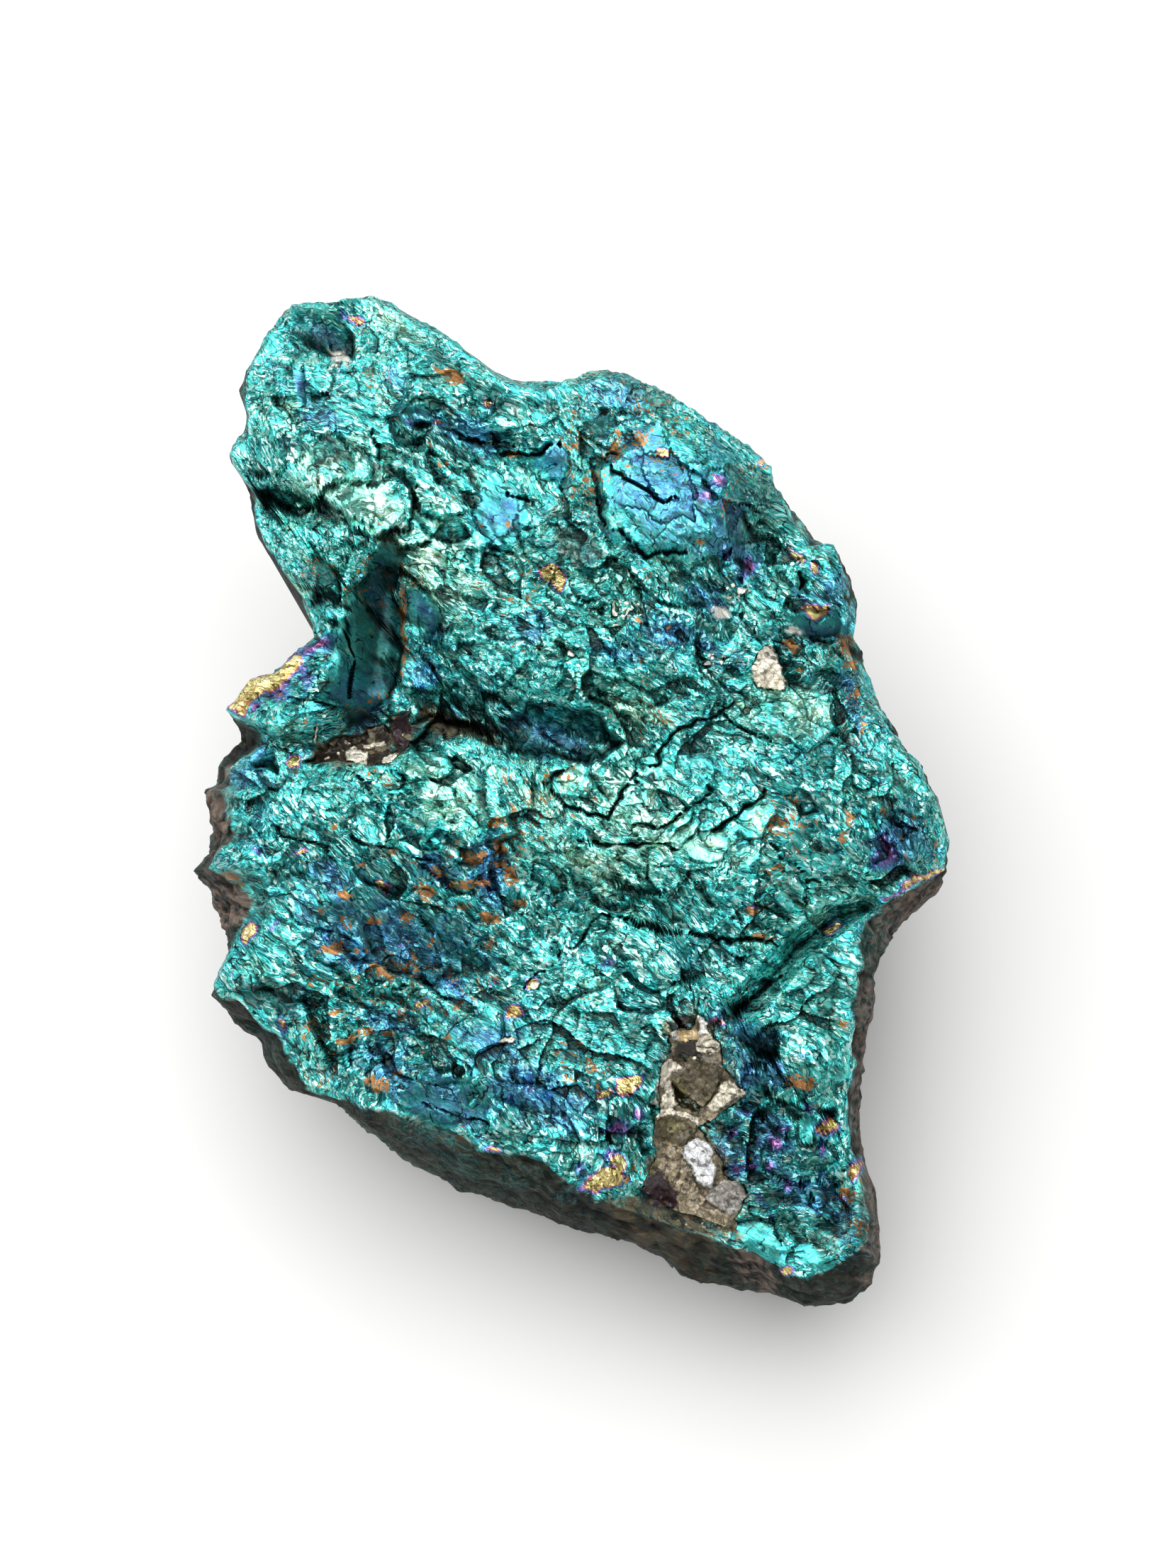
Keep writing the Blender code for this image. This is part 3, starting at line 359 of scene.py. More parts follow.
# Quartz chips, painted over each other in turn inside each patch: tint, height above the face, fall and its
# bearing, direction of the stripes and how striped it is, and the corners
QUARTZ_CHIPS = {"vein": [
    ("umber", 0.25, 0, 0, 40, 0.3, [5.53, -11.65, 5.93, -11.81, 6.13, -12.56, 6.74, -13.22, 6.84, -14.29,
     8.06, -15.71, 7.6, -16.21, 6.39, -16.92, 5.68, -17.43, 6.49, -18.64, 7.0, -19.86, 7.91, -20.36,
     8.16, -20.87, 7.81, -21.58, 7.5, -22.09, 7.6, -22.9, 8.06, -23.55, 6.79, -24.11, 4.56, -24.32,
     2.94, -23.91, 2.64, -22.9, 2.94, -21.68, 2.64, -20.67, 3.04, -19.76, 3.45, -18.85, 3.25, -17.93,
     3.35, -17.02, 3.65, -16.62, 3.5, -15.3, 3.65, -14.39, 4.16, -13.68, 4.06, -12.77, 4.56, -12.36,
     5.27, -12.46]),
    ("tan", 0.45, 10, 90, 30, 0.3, [4.06, -12.72, 4.46, -12.46, 4.97, -12.62, 5.58, -12.46, 5.58, -12.97,
     4.97, -13.12, 4.56, -13.02]),
    ("milky", 0.6, 0, 0, 0, 0.0, [4.24, -12.62, 4.46, -12.51, 4.63, -12.67, 4.61, -12.92, 4.36, -13.0,
     4.21, -12.87]),
    ("soil", 0.3, 14, -90, 60, 0.7, [4.56, -13.12, 5.58, -13.02, 5.58, -13.6, 6.03, -13.73, 5.88, -13.98,
     5.07, -14.08, 4.56, -13.88, 4.31, -13.48]),
    ("milky", 0.6, 12, 0, 80, 0.3, [5.6, -11.75, 5.88, -11.86, 6.03, -12.26, 6.1, -12.65, 5.61, -12.62,
     5.68, -12.16]),
    ("cream", 0.55, 16, -60, 2, 1.0, [5.56, -12.62, 6.1, -12.6, 6.39, -12.97, 6.71, -13.35, 6.64, -13.66,
     6.03, -13.7, 5.5, -13.53, 5.58, -13.07]),
    ("umber", 0.45, 14, 90, 30, 0.5, [5.22, -13.83, 6.03, -13.7, 6.69, -13.68, 6.84, -14.29, 6.71, -14.84,
     5.88, -14.34, 4.97, -14.44, 4.92, -14.08]),
    ("chalk", 0.5, 12, 180, 70, 0.3, [3.7, -14.39, 4.21, -13.88, 4.56, -14.29, 4.97, -14.44, 4.31, -14.69,
     4.16, -15.0, 4.41, -15.5, 4.69, -16.21, 4.21, -16.6, 3.7, -16.67, 3.75, -16.01, 3.85, -15.6,
     3.55, -15.2]),
    ("umber", 0.65, 16, 215, 35, 0.6, [4.21, -14.74, 4.97, -14.44, 5.88, -14.29, 6.64, -14.54, 6.71, -15.0,
     6.54, -15.5, 6.08, -16.21, 5.78, -16.5, 5.19, -15.91, 4.51, -15.4]),
    ("moss", 0.6, 20, 215, 0, 0.0, [4.19, -14.95, 4.41, -14.89, 5.02, -15.4, 5.19, -15.86, 4.56, -15.45]),
    ("shade", 0.0, 24, 40, 0, 0.0, [4.21, -15.1, 4.46, -15.4, 5.19, -15.91, 5.8, -16.5, 5.48, -16.64,
     4.89, -16.5, 4.56, -16.21, 4.38, -15.71]),
    ("cream", 0.7, 14, 30, 40, 0.25, [6.89, -15.12, 7.42, -15.2, 8.03, -15.76, 7.5, -16.01, 6.89, -16.46,
     6.39, -16.69, 6.01, -16.62, 6.24, -16.11, 6.59, -15.6]),
    ("bronze", 0.4, 0, 0, 30, 0.5, [5.88, -16.62, 6.59, -16.62, 6.59, -16.92, 6.08, -17.22, 5.58, -17.43,
     5.58, -17.02]),
    ("chalk", 0.6, 0, 0, 0, 0.2, [3.5, -16.92, 3.8, -16.62, 4.31, -16.55, 5.19, -16.7, 5.63, -17.02,
     5.66, -17.43, 5.43, -17.28, 5.07, -16.92, 4.26, -16.82, 3.65, -17.02]),
    ("olive", 0.6, 14, -100, 60, 0.5, [3.43, -17.12, 3.65, -17.0, 4.26, -16.82, 5.07, -16.92, 5.48, -17.28,
     5.58, -17.53, 5.37, -17.93, 4.87, -18.26, 4.46, -18.31, 3.85, -18.04, 3.37, -17.93, 3.33, -17.53]),
    ("moss", 0.65, 10, -80, 0, 0.0, [3.75, -17.22, 4.26, -17.02, 4.82, -17.12, 4.97, -17.43, 4.56, -17.73,
     3.96, -17.63]),
    ("bronze", 0.45, 12, -90, 50, 0.5, [3.85, -18.19, 4.56, -18.34, 4.95, -18.46, 4.79, -18.95, 4.36, -19.07,
     3.83, -18.76]),
    ("pearl", 0.65, 10, 20, -62, 0.55, [4.82, -18.46, 5.58, -17.95, 5.98, -18.14, 6.26, -18.49, 6.46, -19.45,
     6.44, -19.88, 6.27, -20.49, 5.88, -20.53, 5.48, -20.11, 5.29, -19.76, 5.19, -19.35, 4.89, -19.05]),
    ("umber", 0.4, 0, 0, 0, 0.0, [6.26, -18.85, 6.71, -18.95, 6.81, -19.55, 6.49, -19.64]),
    ("bronze", 0.42, 10, 200, 62, 0.9, [3.55, -18.95, 4.36, -19.07, 4.89, -19.1, 5.19, -19.4, 5.29, -19.86,
     5.48, -20.36, 5.96, -21.07, 5.88, -21.6, 5.15, -21.07, 4.56, -20.72, 3.85, -20.36, 3.53, -19.66]),
    ("grey", 0.4, 10, 0, -40, 0.5, [6.27, -20.52, 7.0, -20.06, 7.6, -20.11, 8.11, -20.85, 7.81, -21.48,
     7.3, -21.91, 6.57, -21.6, 5.96, -21.07]),
    ("bronze", 0.45, 12, -90, 62, 0.45, [4.56, -21.07, 5.15, -21.07, 5.98, -21.6, 6.57, -21.68, 7.3, -21.94,
     7.0, -22.49, 6.39, -22.61, 5.58, -22.59, 5.07, -22.21, 4.65, -21.7]),
    ("plum", 0.3, 22, -110, 60, 0.4, [3.13, -19.91, 3.65, -19.66, 4.46, -20.67, 4.61, -21.48, 3.75, -21.9,
     2.92, -21.6, 2.72, -20.69]),
    ("soil", 0.35, 8, -90, 20, 0.6, [3.13, -21.99, 4.56, -21.78, 5.37, -22.39, 6.39, -22.69, 7.1, -22.59,
     7.52, -23.0, 8.06, -23.55, 7.3, -24.11, 4.56, -24.32, 3.15, -23.91, 2.74, -23.0]),
    ("bronze", 0.5, 20, -60, 70, 0.6, [5.07, -22.69, 5.88, -22.75, 6.08, -23.1, 5.37, -23.25]),
    ("bronze", 0.5, 16, -120, 20, 0.6, [3.45, -22.59, 4.26, -22.39, 4.56, -23.0, 3.65, -23.2]),
], "wedge_grain": [
    ("chalk", 0.5, 8, 120, 60, 0.2, [9.24, 7.22, 9.62, 6.45, 9.92, 5.61, 9.2, 5.52, 8.31, 5.61, 8.38, 6.17,
     8.68, 6.73]),
    ("cream", 0.6, 14, -90, 70, 0.35, [8.38, 5.8, 9.2, 5.98, 9.85, 5.7, 9.92, 5.52, 10.09, 4.81, 9.2, 4.76,
     8.54, 4.94, 8.35, 5.42]),
], "crevice_grains": [
    ("soil", -0.1, 16, 100, 20, 0.4, [-14.04, 1.1, -13.66, 1.85, -12.91, 2.45, -11.61, 2.5, -10.31, 3.1,
     -9.99, 3.53, -9.13, 3.74, -8.8, 2.34, -9.23, 1.69, -10.21, 0.94, -11.61, 0.99, -12.69, 1.15,
     -14.04, 0.94]),
    ("plum", 0.3, 20, -20, 75, 0.3, [-10.1, 3.1, -9.13, 3.69, -8.82, 2.34, -9.13, 1.75, -9.67, 2.02,
     -10.04, 2.56]),
    ("umber", 0.2, 12, 60, 40, 0.4, [-11.18, 2.88, -10.42, 3.04, -9.99, 2.45, -9.99, 1.85, -10.53, 1.58,
     -11.18, 1.75]),
    ("soil", 0.3, 16, 200, 40, 0.5, [-10.96, 2.72, -10.42, 2.88, -10.1, 2.39, -10.21, 1.96, -10.75, 2.02]),
    ("chalk", 0.25, 10, -100, 20, 0.4, [-12.37, 1.64, -11.83, 1.91, -11.18, 1.48, -11.23, 1.04, -11.83, 1.02,
     -12.26, 1.21]),
    ("cream", 0.3, 10, -90, 0, 0.2, [-11.5, 2.07, -11.02, 2.02, -10.42, 2.12, -10.31, 1.99, -10.96, 1.78,
     -11.39, 1.85]),
    ("chalk", 0.3, 8, -90, 20, 0.3, [-10.48, 1.31, -9.99, 1.53, -9.61, 1.58, -9.67, 1.39, -10.15, 1.04,
     -10.48, 1.02]),
    ("chalk", 0.35, 0, 0, 0, 0.2, [-13.88, 2.93, -13.71, 2.88, -13.75, 2.34, -13.92, 1.96, -13.99, 2.12]),
], "streak_grains": [
    ("chalk", 0.3, 0, 0, 0, 0.1, [1.3, 9.44, 1.42, 9.19, 1.4, 8.78, 1.57, 8.43, 1.37, 8.36, 1.17, 8.51,
     1.12, 8.73, 1.2, 9.09]),
    ("chalk", 0.3, 0, 0, 0, 0.1, [1.27, 8.08, 1.42, 8.23, 1.67, 8.03, 1.52, 7.93, 1.17, 7.93]),
    ("milky", 0.3, 0, 0, 0, 0.1, [1.85, 8.78, 2.08, 8.94, 2.28, 8.83, 2.48, 8.78, 2.51, 8.58, 2.28, 8.73,
     2.03, 8.63, 1.88, 8.28, 1.75, 8.36]),
    ("cream", 0.3, 0, 0, 0, 0.1, [2.53, 8.99, 2.63, 9.04, 2.67, 8.73, 2.56, 8.66]),
], "upper_grain": [
    ("milky", 0.35, 0, 0, 0, 0.2, [7.5, 9.5, 7.79, 9.53, 8.11, 9.72, 8.16, 10.02, 7.9, 10.1, 7.56, 9.92]),
    ("cream", 0.35, 0, 0, 0, 0.2, [7.01, 9.42, 7.14, 9.36, 7.32, 9.38, 7.4, 9.52, 7.3, 9.63, 7.12, 9.63]),
], "middle_grain": [
    ("milky", 0.35, 0, 0, 0, 0.2, [5.86, 6.05, 6.0, 5.95, 6.22, 5.93, 6.34, 6.08, 6.24, 6.24, 6.03, 6.27]),
    ("cream", 0.35, 0, 0, 0, 0.2, [6.77, 6.28, 6.9, 6.26, 7.04, 6.33, 7.05, 6.47, 6.94, 6.54, 6.79, 6.49]),
], "pit_grain": [
    ("chalk", 0.35, 0, 0, 0, 0.2, [-1.15, 6.55, -1.0, 6.45, -0.78, 6.43, -0.65, 6.58, -0.75, 6.74,
     -0.97, 6.77]),
], "corner_grain": [
    ("milky", 0.35, 0, 0, 0, 0.2, [-12.86, 21.44, -12.7, 21.32, -12.47, 21.3, -12.34, 21.48, -12.44, 21.66,
     -12.68, 21.7]),
], "low_grain": [
    ("cream", 0.35, 0, 0, 0, 0.2, [-2.97, -10.38, -2.74, -10.46, -2.46, -10.39, -2.39, -10.11, -2.59, -9.94,
     -2.88, -9.99]),
], "side_grain": [
    ("chalk", 0.35, 0, 0, 0, 0.2, [-4.53, -13.14, -4.24, -13.23, -3.84, -13.18, -3.65, -12.94, -3.86, -12.78,
     -4.27, -12.81]),
]}
QUARTZ_PATCHES = {name: [(*chip[:-1], pairs(chip[-1])) for chip in patch]
                  for name, patch in QUARTZ_CHIPS.items()}

# Fine relief. Plates: size, step between neighbours, tilt and seed. Flakes: size, depth, lean, curve (above
# 0 hollow, below 0 domed) and seed. Warps: size and seed of the noise that bends the flakes
FACE_PLATES = [(3.4, 0.6, 1.6, 101), (1.6, 0.28, 0.9, 111), (0.75, 0.09, 0.36, 121)]
FACE_FLAKES = [(2.1, 0.4, 1.3, -0.6, 131), (0.8, 0.16, 1.5, 0.8, 151), (0.4, 0.07, 1.6, -0.8, 171)]
FACE_WARPS = [(1.6, 71), (1.6, 72)]
FACE_STRETCH = 1.5
WALL_FLAKES = [(3.2, 0.9, 1.3, 0.8, 201), (1.4, 0.5, 1.4, -0.7, 231), (0.6, 0.24, 1.5, 0.8, 251)]
FLAKE_WARP = 0.3
WALL_CALM = 0.2
WALL_RISE = 0.8
WALL_MOST = 1.2
BACK_SINK = 0.2

# Ledges, in millimetres, and the shares of a ledge in which it rises and falls
LEDGE_SPACING = 1.15
LEDGE_HEIGHT = 0.22
LEDGE_RISE = 0.82
LEDGE_FALL = 0.18

# Edges of the marks: how they wander, and how plates, cracks, pits and beds begin
MARK_WANDER_U = (0.0, (0.24, 0.9, 91), (0.12, 0.36, 92))
MARK_WANDER_V = (0.0, (0.24, 0.9, 93), (0.12, 0.36, 94))
CRACK_LEAST_WIDTH = 0.05
FACET_EDGE = 0.12
FACET_POINT = 0.88
FACET_SHOULDER = 0.45
SMOOTH_CALM = 0.93
PIT_REACH = 1.3
BED_DEPTH = 0.45
BED_EDGE = 0.12
EDGE_ROUGHNESS = 0.2

# Film: its thickness on most of the face, and for each kind of spot the thickness, how strongly it takes
# hold and how far out. Then where the gold ends on the wall, and the band of film that runs over the rim
FILM_TEAL = 0.775
FILM_SPOTS = [(MINT, 0.92, 1.0, 1.3), (BLUE, 0.57, 1.1, 1.3), (VIOLET, 0.4, 1.3, 1.2)]
WALL_THIN = 0.5
GOLD_END_RING = 1.5
GOLD_END_FADE = 0.35
RIM_FILM_WIDTH = 0.3
RIM_FILM_FADE = 0.12
RIM_FILM_END = 1.8
RIM_FILM_END_FADE = 0.15

# Painted shade of hollow places, and painted light on places above their neighbours: rounds of smoothing,
# depth in millimetres that counts as full, and weight
HOLLOW_SHADING = [(3, 0.05, 0.4), (24, 0.25, 0.35)]

# Grids of the stone: cells across the face, rows down the upper wall and rows down the lower wall; and how
# its triangles are thinned
FACE_CELLS = 340
UPPER_ROWS = 22
LOWER_ROWS = 16
LOWER_WALL_END = 2.62
THIN_LESS_ON_FACE = 2.5
THIN_FROM_RING = 2.1

# Patches of quartz chips: spacing of the grid, margin around the chips, depth of the hidden part and the
# slab below it, width of a chip's edge, rounds of evening the ground, and the share of triangles kept
PATCH_STEP = 0.06
PATCH_MARGIN = 0.35
PATCH_SUNK = 1.1
PATCH_THICK = 0.4
PATCH_EDGE = 0.1
PATCH_ROUNDS = 60
PATCH_LAST_RING = 0.95
PATCH_KEPT = 0.45
CHIP_WANDER_U = ((0.06, 0.4, 401), (0.07, 0.16, 402))
CHIP_WANDER_V = ((0.06, 0.4, 403), (0.07, 0.16, 404))
# Roughness of the chips: depth, size, curve and seed
CHIP_ROUGH = [(0.2, 0.6, 0.8, 405), (0.1, 0.25, -0.8, 407)]

# Scattered grains: rows and turns of each, its cleavage planes and how sharply they meet, lean and chipping
GRAIN_ROWS = 8
GRAIN_COLUMNS = 10
GRAIN_BREAKS = 9
GRAIN_SHARPNESS = 14.0
GRAIN_TIP = 0.25
GRAIN_CHIP_DEPTH = 0.06
GRAIN_CHIP_SIZE = 0.22
GRAIN_FLATNESS = 0.6
GRAIN_LIFT = 0.05

# Patterns of the ore's skin, per millimetre. Cells: number and lean. Pushes: noise, detail and millimetres
SKIN_CELLS = [(1.2, 0.24), (2.8, 0.44), (8.0, 0.42)]
SKIN_PUSHES = [(0.16, 0.0, 5.0), (1.1, 2.0, 0.9)]

# Colours along the film's thickness
FILM_STOPS = [(0.0, "gold"), (0.12, "gold"), (0.19, "amber"), (0.26, "magenta"), (0.35, "violet"),
              (0.47, "blue"), (0.58, "azure"), (0.7, "teal"), (0.82, "sea_green"), (0.93, "mint"),
              (1.0, "pale_green")]

# How far the film's thickness varies from flake to flake, at two sizes
FLAKE_FILM = 0.10
SHARD_FILM = 0.12

# Cells of the quartz, per millimetre: number and lean
QUARTZ_CELLS = [(2.6, 0.4), (6.0, 0.5)]


def cell_random(cell, seed):
    """Three repeatable random numbers from 0 to 1 for each whole-numbered cell of space: its numbers are
    multiplied by large odd factors, folded over themselves, and cut into three."""
    key = cell.astype(np.uint64)
    mixed = key[:, 0] * np.uint64(0x9E3779B97F4A7C15) ^ key[:, 1] * np.uint64(0xC2B2AE3D27D4EB4F)
    mixed ^= key[:, 2] * np.uint64(0x165667B19E3779F9) ^ np.uint64((seed * 0x27D4EB2F165667C5) % 2 ** 64)
    for factor in (0xFF51AFD7ED558CCD, 0xC4CEB9FE1A85EC53, 1):
        mixed = (mixed ^ (mixed >> np.uint64(33))) * np.uint64(factor)
    parts = [(mixed >> np.uint64(21 * k)) & np.uint64(0x1FFFFF) for k in range(3)]
    return np.stack(parts, axis=1).astype(np.float64) / 2.0 ** 21


def hills(points, recipe):
    """A base value with soft noises added to it in turn, each given as amount, size and seed."""
    total = recipe[0]
    for amount, size, seed in recipe[1:]:
        total = total + amount * soft_noise(points, size, seed)
    return total


def flat_places(u, v):
    """Places in the plane of the face, for the noises."""
    return np.stack((u, v, np.zeros(len(u))), axis=1)


def held(numbers):
    """Numbers held between 0 and 1."""
    return np.clip(numbers, 0.0, 1.0)


def turned(a, b, degrees):
    """Two distances along level axes, measured along axes turned anticlockwise by an angle."""
    turn = np.radians(degrees)
    return a * np.cos(turn) + b * np.sin(turn), b * np.cos(turn) - a * np.sin(turn)


def soft_noise(points, size, seed):
    """Smooth random hills from -1 to 1: random corner values of unit cells, blended by eased weights."""
    place = points / size
    corner = np.floor(place)
    part = place - corner
    ease = part * part * (3.0 - 2.0 * part)
    total = np.zeros(len(points))
    for step in np.ndindex(2, 2, 2):
        side = np.array(step)
        weight = np.where(side, ease, 1.0 - ease).prod(axis=1)
        total += weight * cell_random((corner + side).astype(np.int64), seed)[:, 0]
    return 2.0 * total - 1.0


def along_grain(points, stretch):
    """Places turned to the grain of the ore and squeezed along it, so cells come out longer that way."""
    along, across = turned(points[:, 0], points[:, 1], GRAIN_DIRECTION)
    return np.stack((along / stretch, across, points[:, 2]), axis=1)


def flakes(place, lean_by, curve, seed, flat):
    """Cells with sharp borders: the lowest of the tilted bowls around scattered points, or with a negative
    curve the highest of the domes. Flat cells are looked for in two directions only."""
    corner = np.floor(place)
    sign = 1.0 if curve > 0.0 else -1.0
    best = np.full(len(place), np.inf)
    for step in np.ndindex(3, 3, 1 if flat else 3):
        cell = (corner + np.array(step) - np.array((1, 1, 0 if flat else 1))).astype(np.int64)
        away = place - cell - cell_random(cell, seed)
        if flat:
            away[:, 2] = 0.0
        lean = cell_random(cell, seed + 1) - 0.5
        value = sign * (curve * (away ** 2).sum(axis=1) + lean_by * (away * lean).sum(axis=1))
        best = np.minimum(best, value + 0.5 * cell_random(cell, seed + 2)[:, 0])
    return sign * best


def plates(place, step, tilt, seed):
    """Flat plates with cliffs between them: each place takes the height and the tilt of the nearest of the
    points scattered over the plane."""
    corner = np.floor(place)
    nearest = np.full(len(place), np.inf)
    height = np.zeros(len(place))
    for near in np.ndindex(3, 3):
        cell = (corner + np.array((near[0] - 1, near[1] - 1, 0))).astype(np.int64)
        away = (place - cell - cell_random(cell, seed))[:, :2]
        distance = (away ** 2).sum(axis=1)
        draw = cell_random(cell, seed + 1) - 0.5
        value = step * draw[:, 0] + tilt * (away * draw[:, 1:]).sum(axis=1)
        height = np.where(distance < nearest, value, height)
        nearest = np.minimum(nearest, distance)
    return height


def chips(points, size, seed):
    """The solid's own hollow chips: the lowest of the tilted bowls around scattered points."""
    place = along_grain(points, CHIP_STRETCH) / size
    return flakes(place, CHIP_TILT, CHIP_CURVE, seed, False) - CHIP_LEVEL


def spot_axes(u, v, spot):
    """Places along and across a turned spot, in its own half sizes."""
    along, across = turned(u - spot[0], v - spot[1], spot[4])
    return along / spot[2], across / spot[3]


def outline_at(angle):
    """Distance from the face's middle to the outline, and the width of the lip, along each angle."""
    spots = np.array(OUTLINE)
    bearing, distance = bearing_of(spots[:, 0], spots[:, 1])
    reach = np.interp(angle, bearing, distance, period=FULL_TURN)
    lip = np.interp(angle, bearing, spots[:, 2], period=FULL_TURN)
    return reach, lip


def spot_reach(u, v, spot):
    """How far out of a spot each place is: 0 at its middle and 1 on its edge."""
    return np.hypot(*spot_axes(u, v, spot))


def distance_to_path(u, v, path):
    """Shortest distance from each place to a path of straight stretches."""
    nearest = np.full(len(u), np.inf)
    for (u0, v0), (u1, v1) in zip(path[:-1], path[1:]):
        length2 = (u1 - u0) ** 2 + (v1 - v0) ** 2
        share = held(((u - u0) * (u1 - u0) + (v - v0) * (v1 - v0)) / length2)
        nearest = np.minimum(nearest, np.hypot(u - u0 - share * (u1 - u0), v - v0 - share * (v1 - v0)))
    return nearest


def ragged_places(u, v):
    """Places moved by a small random wander, so that what is drawn on them gets a broken edge."""
    places = flat_places(u, v)
    return u + hills(places, MARK_WANDER_U), v + hills(places, MARK_WANDER_V)


def facet_reach(u, v, spot):
    """How far out of a turned six-sided plate each place is: 0 at its middle and 1 on its edge."""
    along, across = np.abs(spot_axes(u, v, spot))
    return np.maximum(across, FACET_POINT * along + FACET_SHOULDER * across)


def crack_gap(u, v, cracks):
    """Depth of the cracks and how far inside one each place is, from 0 outside to 1 on its line. A noise
    widens and narrows them."""
    uneven = np.maximum(hills(flat_places(u, v), (0.5, (0.4, 1.3, 95), (0.4, 0.35, 96))), CRACK_LEAST_WIDTH)
    depth = np.zeros(len(u))
    inside = np.zeros(len(u))
    for half_width, deep, path in cracks:
        gap = held(1.0 - distance_to_path(u, v, path) / (half_width * uneven))
        depth = np.maximum(depth, deep * gap)
        inside = np.maximum(inside, gap)
    return depth, inside


def polygon_depth(u, v, corners):
    """How far inside a polygon each place is, in millimetres: below 0 outside it. A place is inside when
    the level line to its right crosses the sides an odd number of times."""
    path = corners + corners[:1]
    inside = np.zeros(len(u), bool)
    for (u0, v0), (u1, v1) in zip(path[:-1], path[1:]):
        crosses = (v0 > v) != (v1 > v)
        inside ^= crosses & (u < u0 + (v - v0) * (u1 - u0) / (v1 - v0 + 1e-9))
    return np.where(inside, 1.0, -1.0) * distance_to_path(u, v, path)


def quartz_bed(u, v):
    """How far each place of the face belongs to the beds sunk for the quartz chips, from 0 to 1."""
    bed = np.zeros(len(u))
    for patch in QUARTZ_PATCHES.values():
        for chip in patch:
            low, high = np.min(chip[-1], axis=0), np.max(chip[-1], axis=0)
            near = (u > low[0]) & (u < high[0]) & (v > low[1]) & (v < high[1])
            deep = held(polygon_depth(u[near], v[near], chip[-1]) / BED_EDGE)
            bed[near] = np.maximum(bed[near], deep)
    return bed


def facet_relief(u, v):
    """Tilted plates placed on the face: each is a plane that falls towards its bearing, inside a six-sided
    outline with a short soft edge. Gives their height and how far each place belongs to a smooth one."""
    height = np.zeros(len(u))
    smooth = np.zeros(len(u))
    for spot in FACETS:
        bearing, fall, level, smoothness = spot[5:]
        mask = held((1.0 - facet_reach(u, v, spot)) / FACET_EDGE + 0.5)
        away = turned(u - spot[0], v - spot[1], bearing)[0]
        height = height * (1.0 - mask) + (level - np.tan(np.radians(fall)) * away) * mask
        smooth = smooth * (1.0 - mask) + smoothness * mask
    return height, smooth


def ledges(u, v):
    """Steps that run along the grain: a slow rise and a short fall, where a patchy noise lets them show."""
    places = flat_places(u, v)
    across = along_grain(places, 1.0)[:, 1]
    step = np.mod((across + hills(places, (0.0, (0.9, 3.1, 61), (0.35, 1.1, 62)))) / LEDGE_SPACING, 1.0)
    rise = np.where(step < LEDGE_RISE, step / LEDGE_RISE, (1.0 - step) / LEDGE_FALL)
    return LEDGE_HEIGHT * held(hills(places, (0.5, (1.4, 5.3, 63)))) * (rise - 0.5)


def crumpled(places, warp, stretch, size, depth, lean, curve, seed, flat):
    """One size of flakes, stretched along the grain and warped a little, about their middle height."""
    place = along_grain(places + FLAKE_WARP * size * warp, stretch) / size
    return depth * (flakes(place, lean, curve, seed, flat) - np.sign(curve) * 0.3)


def face_flakes(u, v):
    """Broken plates and crumpled flakes of the face at several sizes, each warped a little."""
    places = flat_places(u, v)
    warp = flat_places(*(soft_noise(places, *noise) for noise in FACE_WARPS))
    total = np.zeros(len(u))
    for size, step, tilt, seed in FACE_PLATES:
        place = along_grain(places + FLAKE_WARP * size * warp, FACE_STRETCH) / size
        total += plates(place, step, tilt, seed)
    for row in FACE_FLAKES:
        total += crumpled(places, warp, FACE_STRETCH, *row, True)
    return total * hills(places, (0.8, (0.6, 4.0, 75)))


def wall_flakes(points):
    """Broken flakes of the walls and the back at three sizes."""
    warp = soft_noise(points, 2.3, 81)[:, None]
    total = np.zeros(len(points))
    for row in WALL_FLAKES:
        total += crumpled(points, warp, 1.4, *row, False)
    return total


def face_height(u, v, share):
    """Height of the face above its reference plane: crown, swells and the open crack, as in the solid."""
    height = -FACE_CROWN * share ** 3
    for form in FACE_FORMS:
        height = height + form[5] * np.exp(-spot_reach(u, v, form) ** 2)
    gap = held(1.0 - distance_to_path(u, v, OPEN_CRACK) / OPEN_CRACK_HALF_WIDTH)
    return height - OPEN_CRACK_DEPTH * gap


def fine_face_height(u, v):
    """Placed plates, ledges, flakes, cracks and pits of the face."""
    ragged_u, ragged_v = ragged_places(u, v)
    placed, smooth = facet_relief(ragged_u, ragged_v)
    height = placed + (face_flakes(u, v) + ledges(u, v)) * (1.0 - SMOOTH_CALM * smooth)
    height = height - crack_gap(ragged_u, ragged_v, CRACKS)[0]
    for pit in PITS:
        height = height - pit[5] * held(PIT_REACH - spot_reach(ragged_u, ragged_v, pit))
    return height - BED_DEPTH * quartz_bed(u, v)


def to_world(u, v, w):
    """Places measured on the face, spread along the line of sight and turned to lie with +Z up."""
    spread = 1.0 - w / SIGHT_DISTANCE
    tilt = np.radians(FACE_TILT)
    x = u * spread
    y = v * spread * np.sin(tilt) - w * np.cos(tilt)
    z = v * spread * np.cos(tilt) + w * np.sin(tilt) + FACE_HEIGHT
    return np.stack((x, y, z), axis=1)


def from_world(points):
    """The reverse of to_world: u, v and w of places on the stone, in millimetres."""
    tilt = np.radians(FACE_TILT)
    level = points[:, 2] - FACE_HEIGHT
    w = level * np.sin(tilt) - points[:, 1] * np.cos(tilt)
    spread = 1.0 - w / SIGHT_DISTANCE
    v = (points[:, 1] * np.sin(tilt) + level * np.cos(tilt)) / spread
    return points[:, 0] / spread, v, w


def bearing_of(u, v):
    """Bearing of places around the face's middle, and their distance from it."""
    du = u - FACE_MIDDLE[0]
    dv = v - FACE_MIDDLE[1]
    return np.mod(np.arctan2(dv, du), FULL_TURN), np.hypot(du, dv)


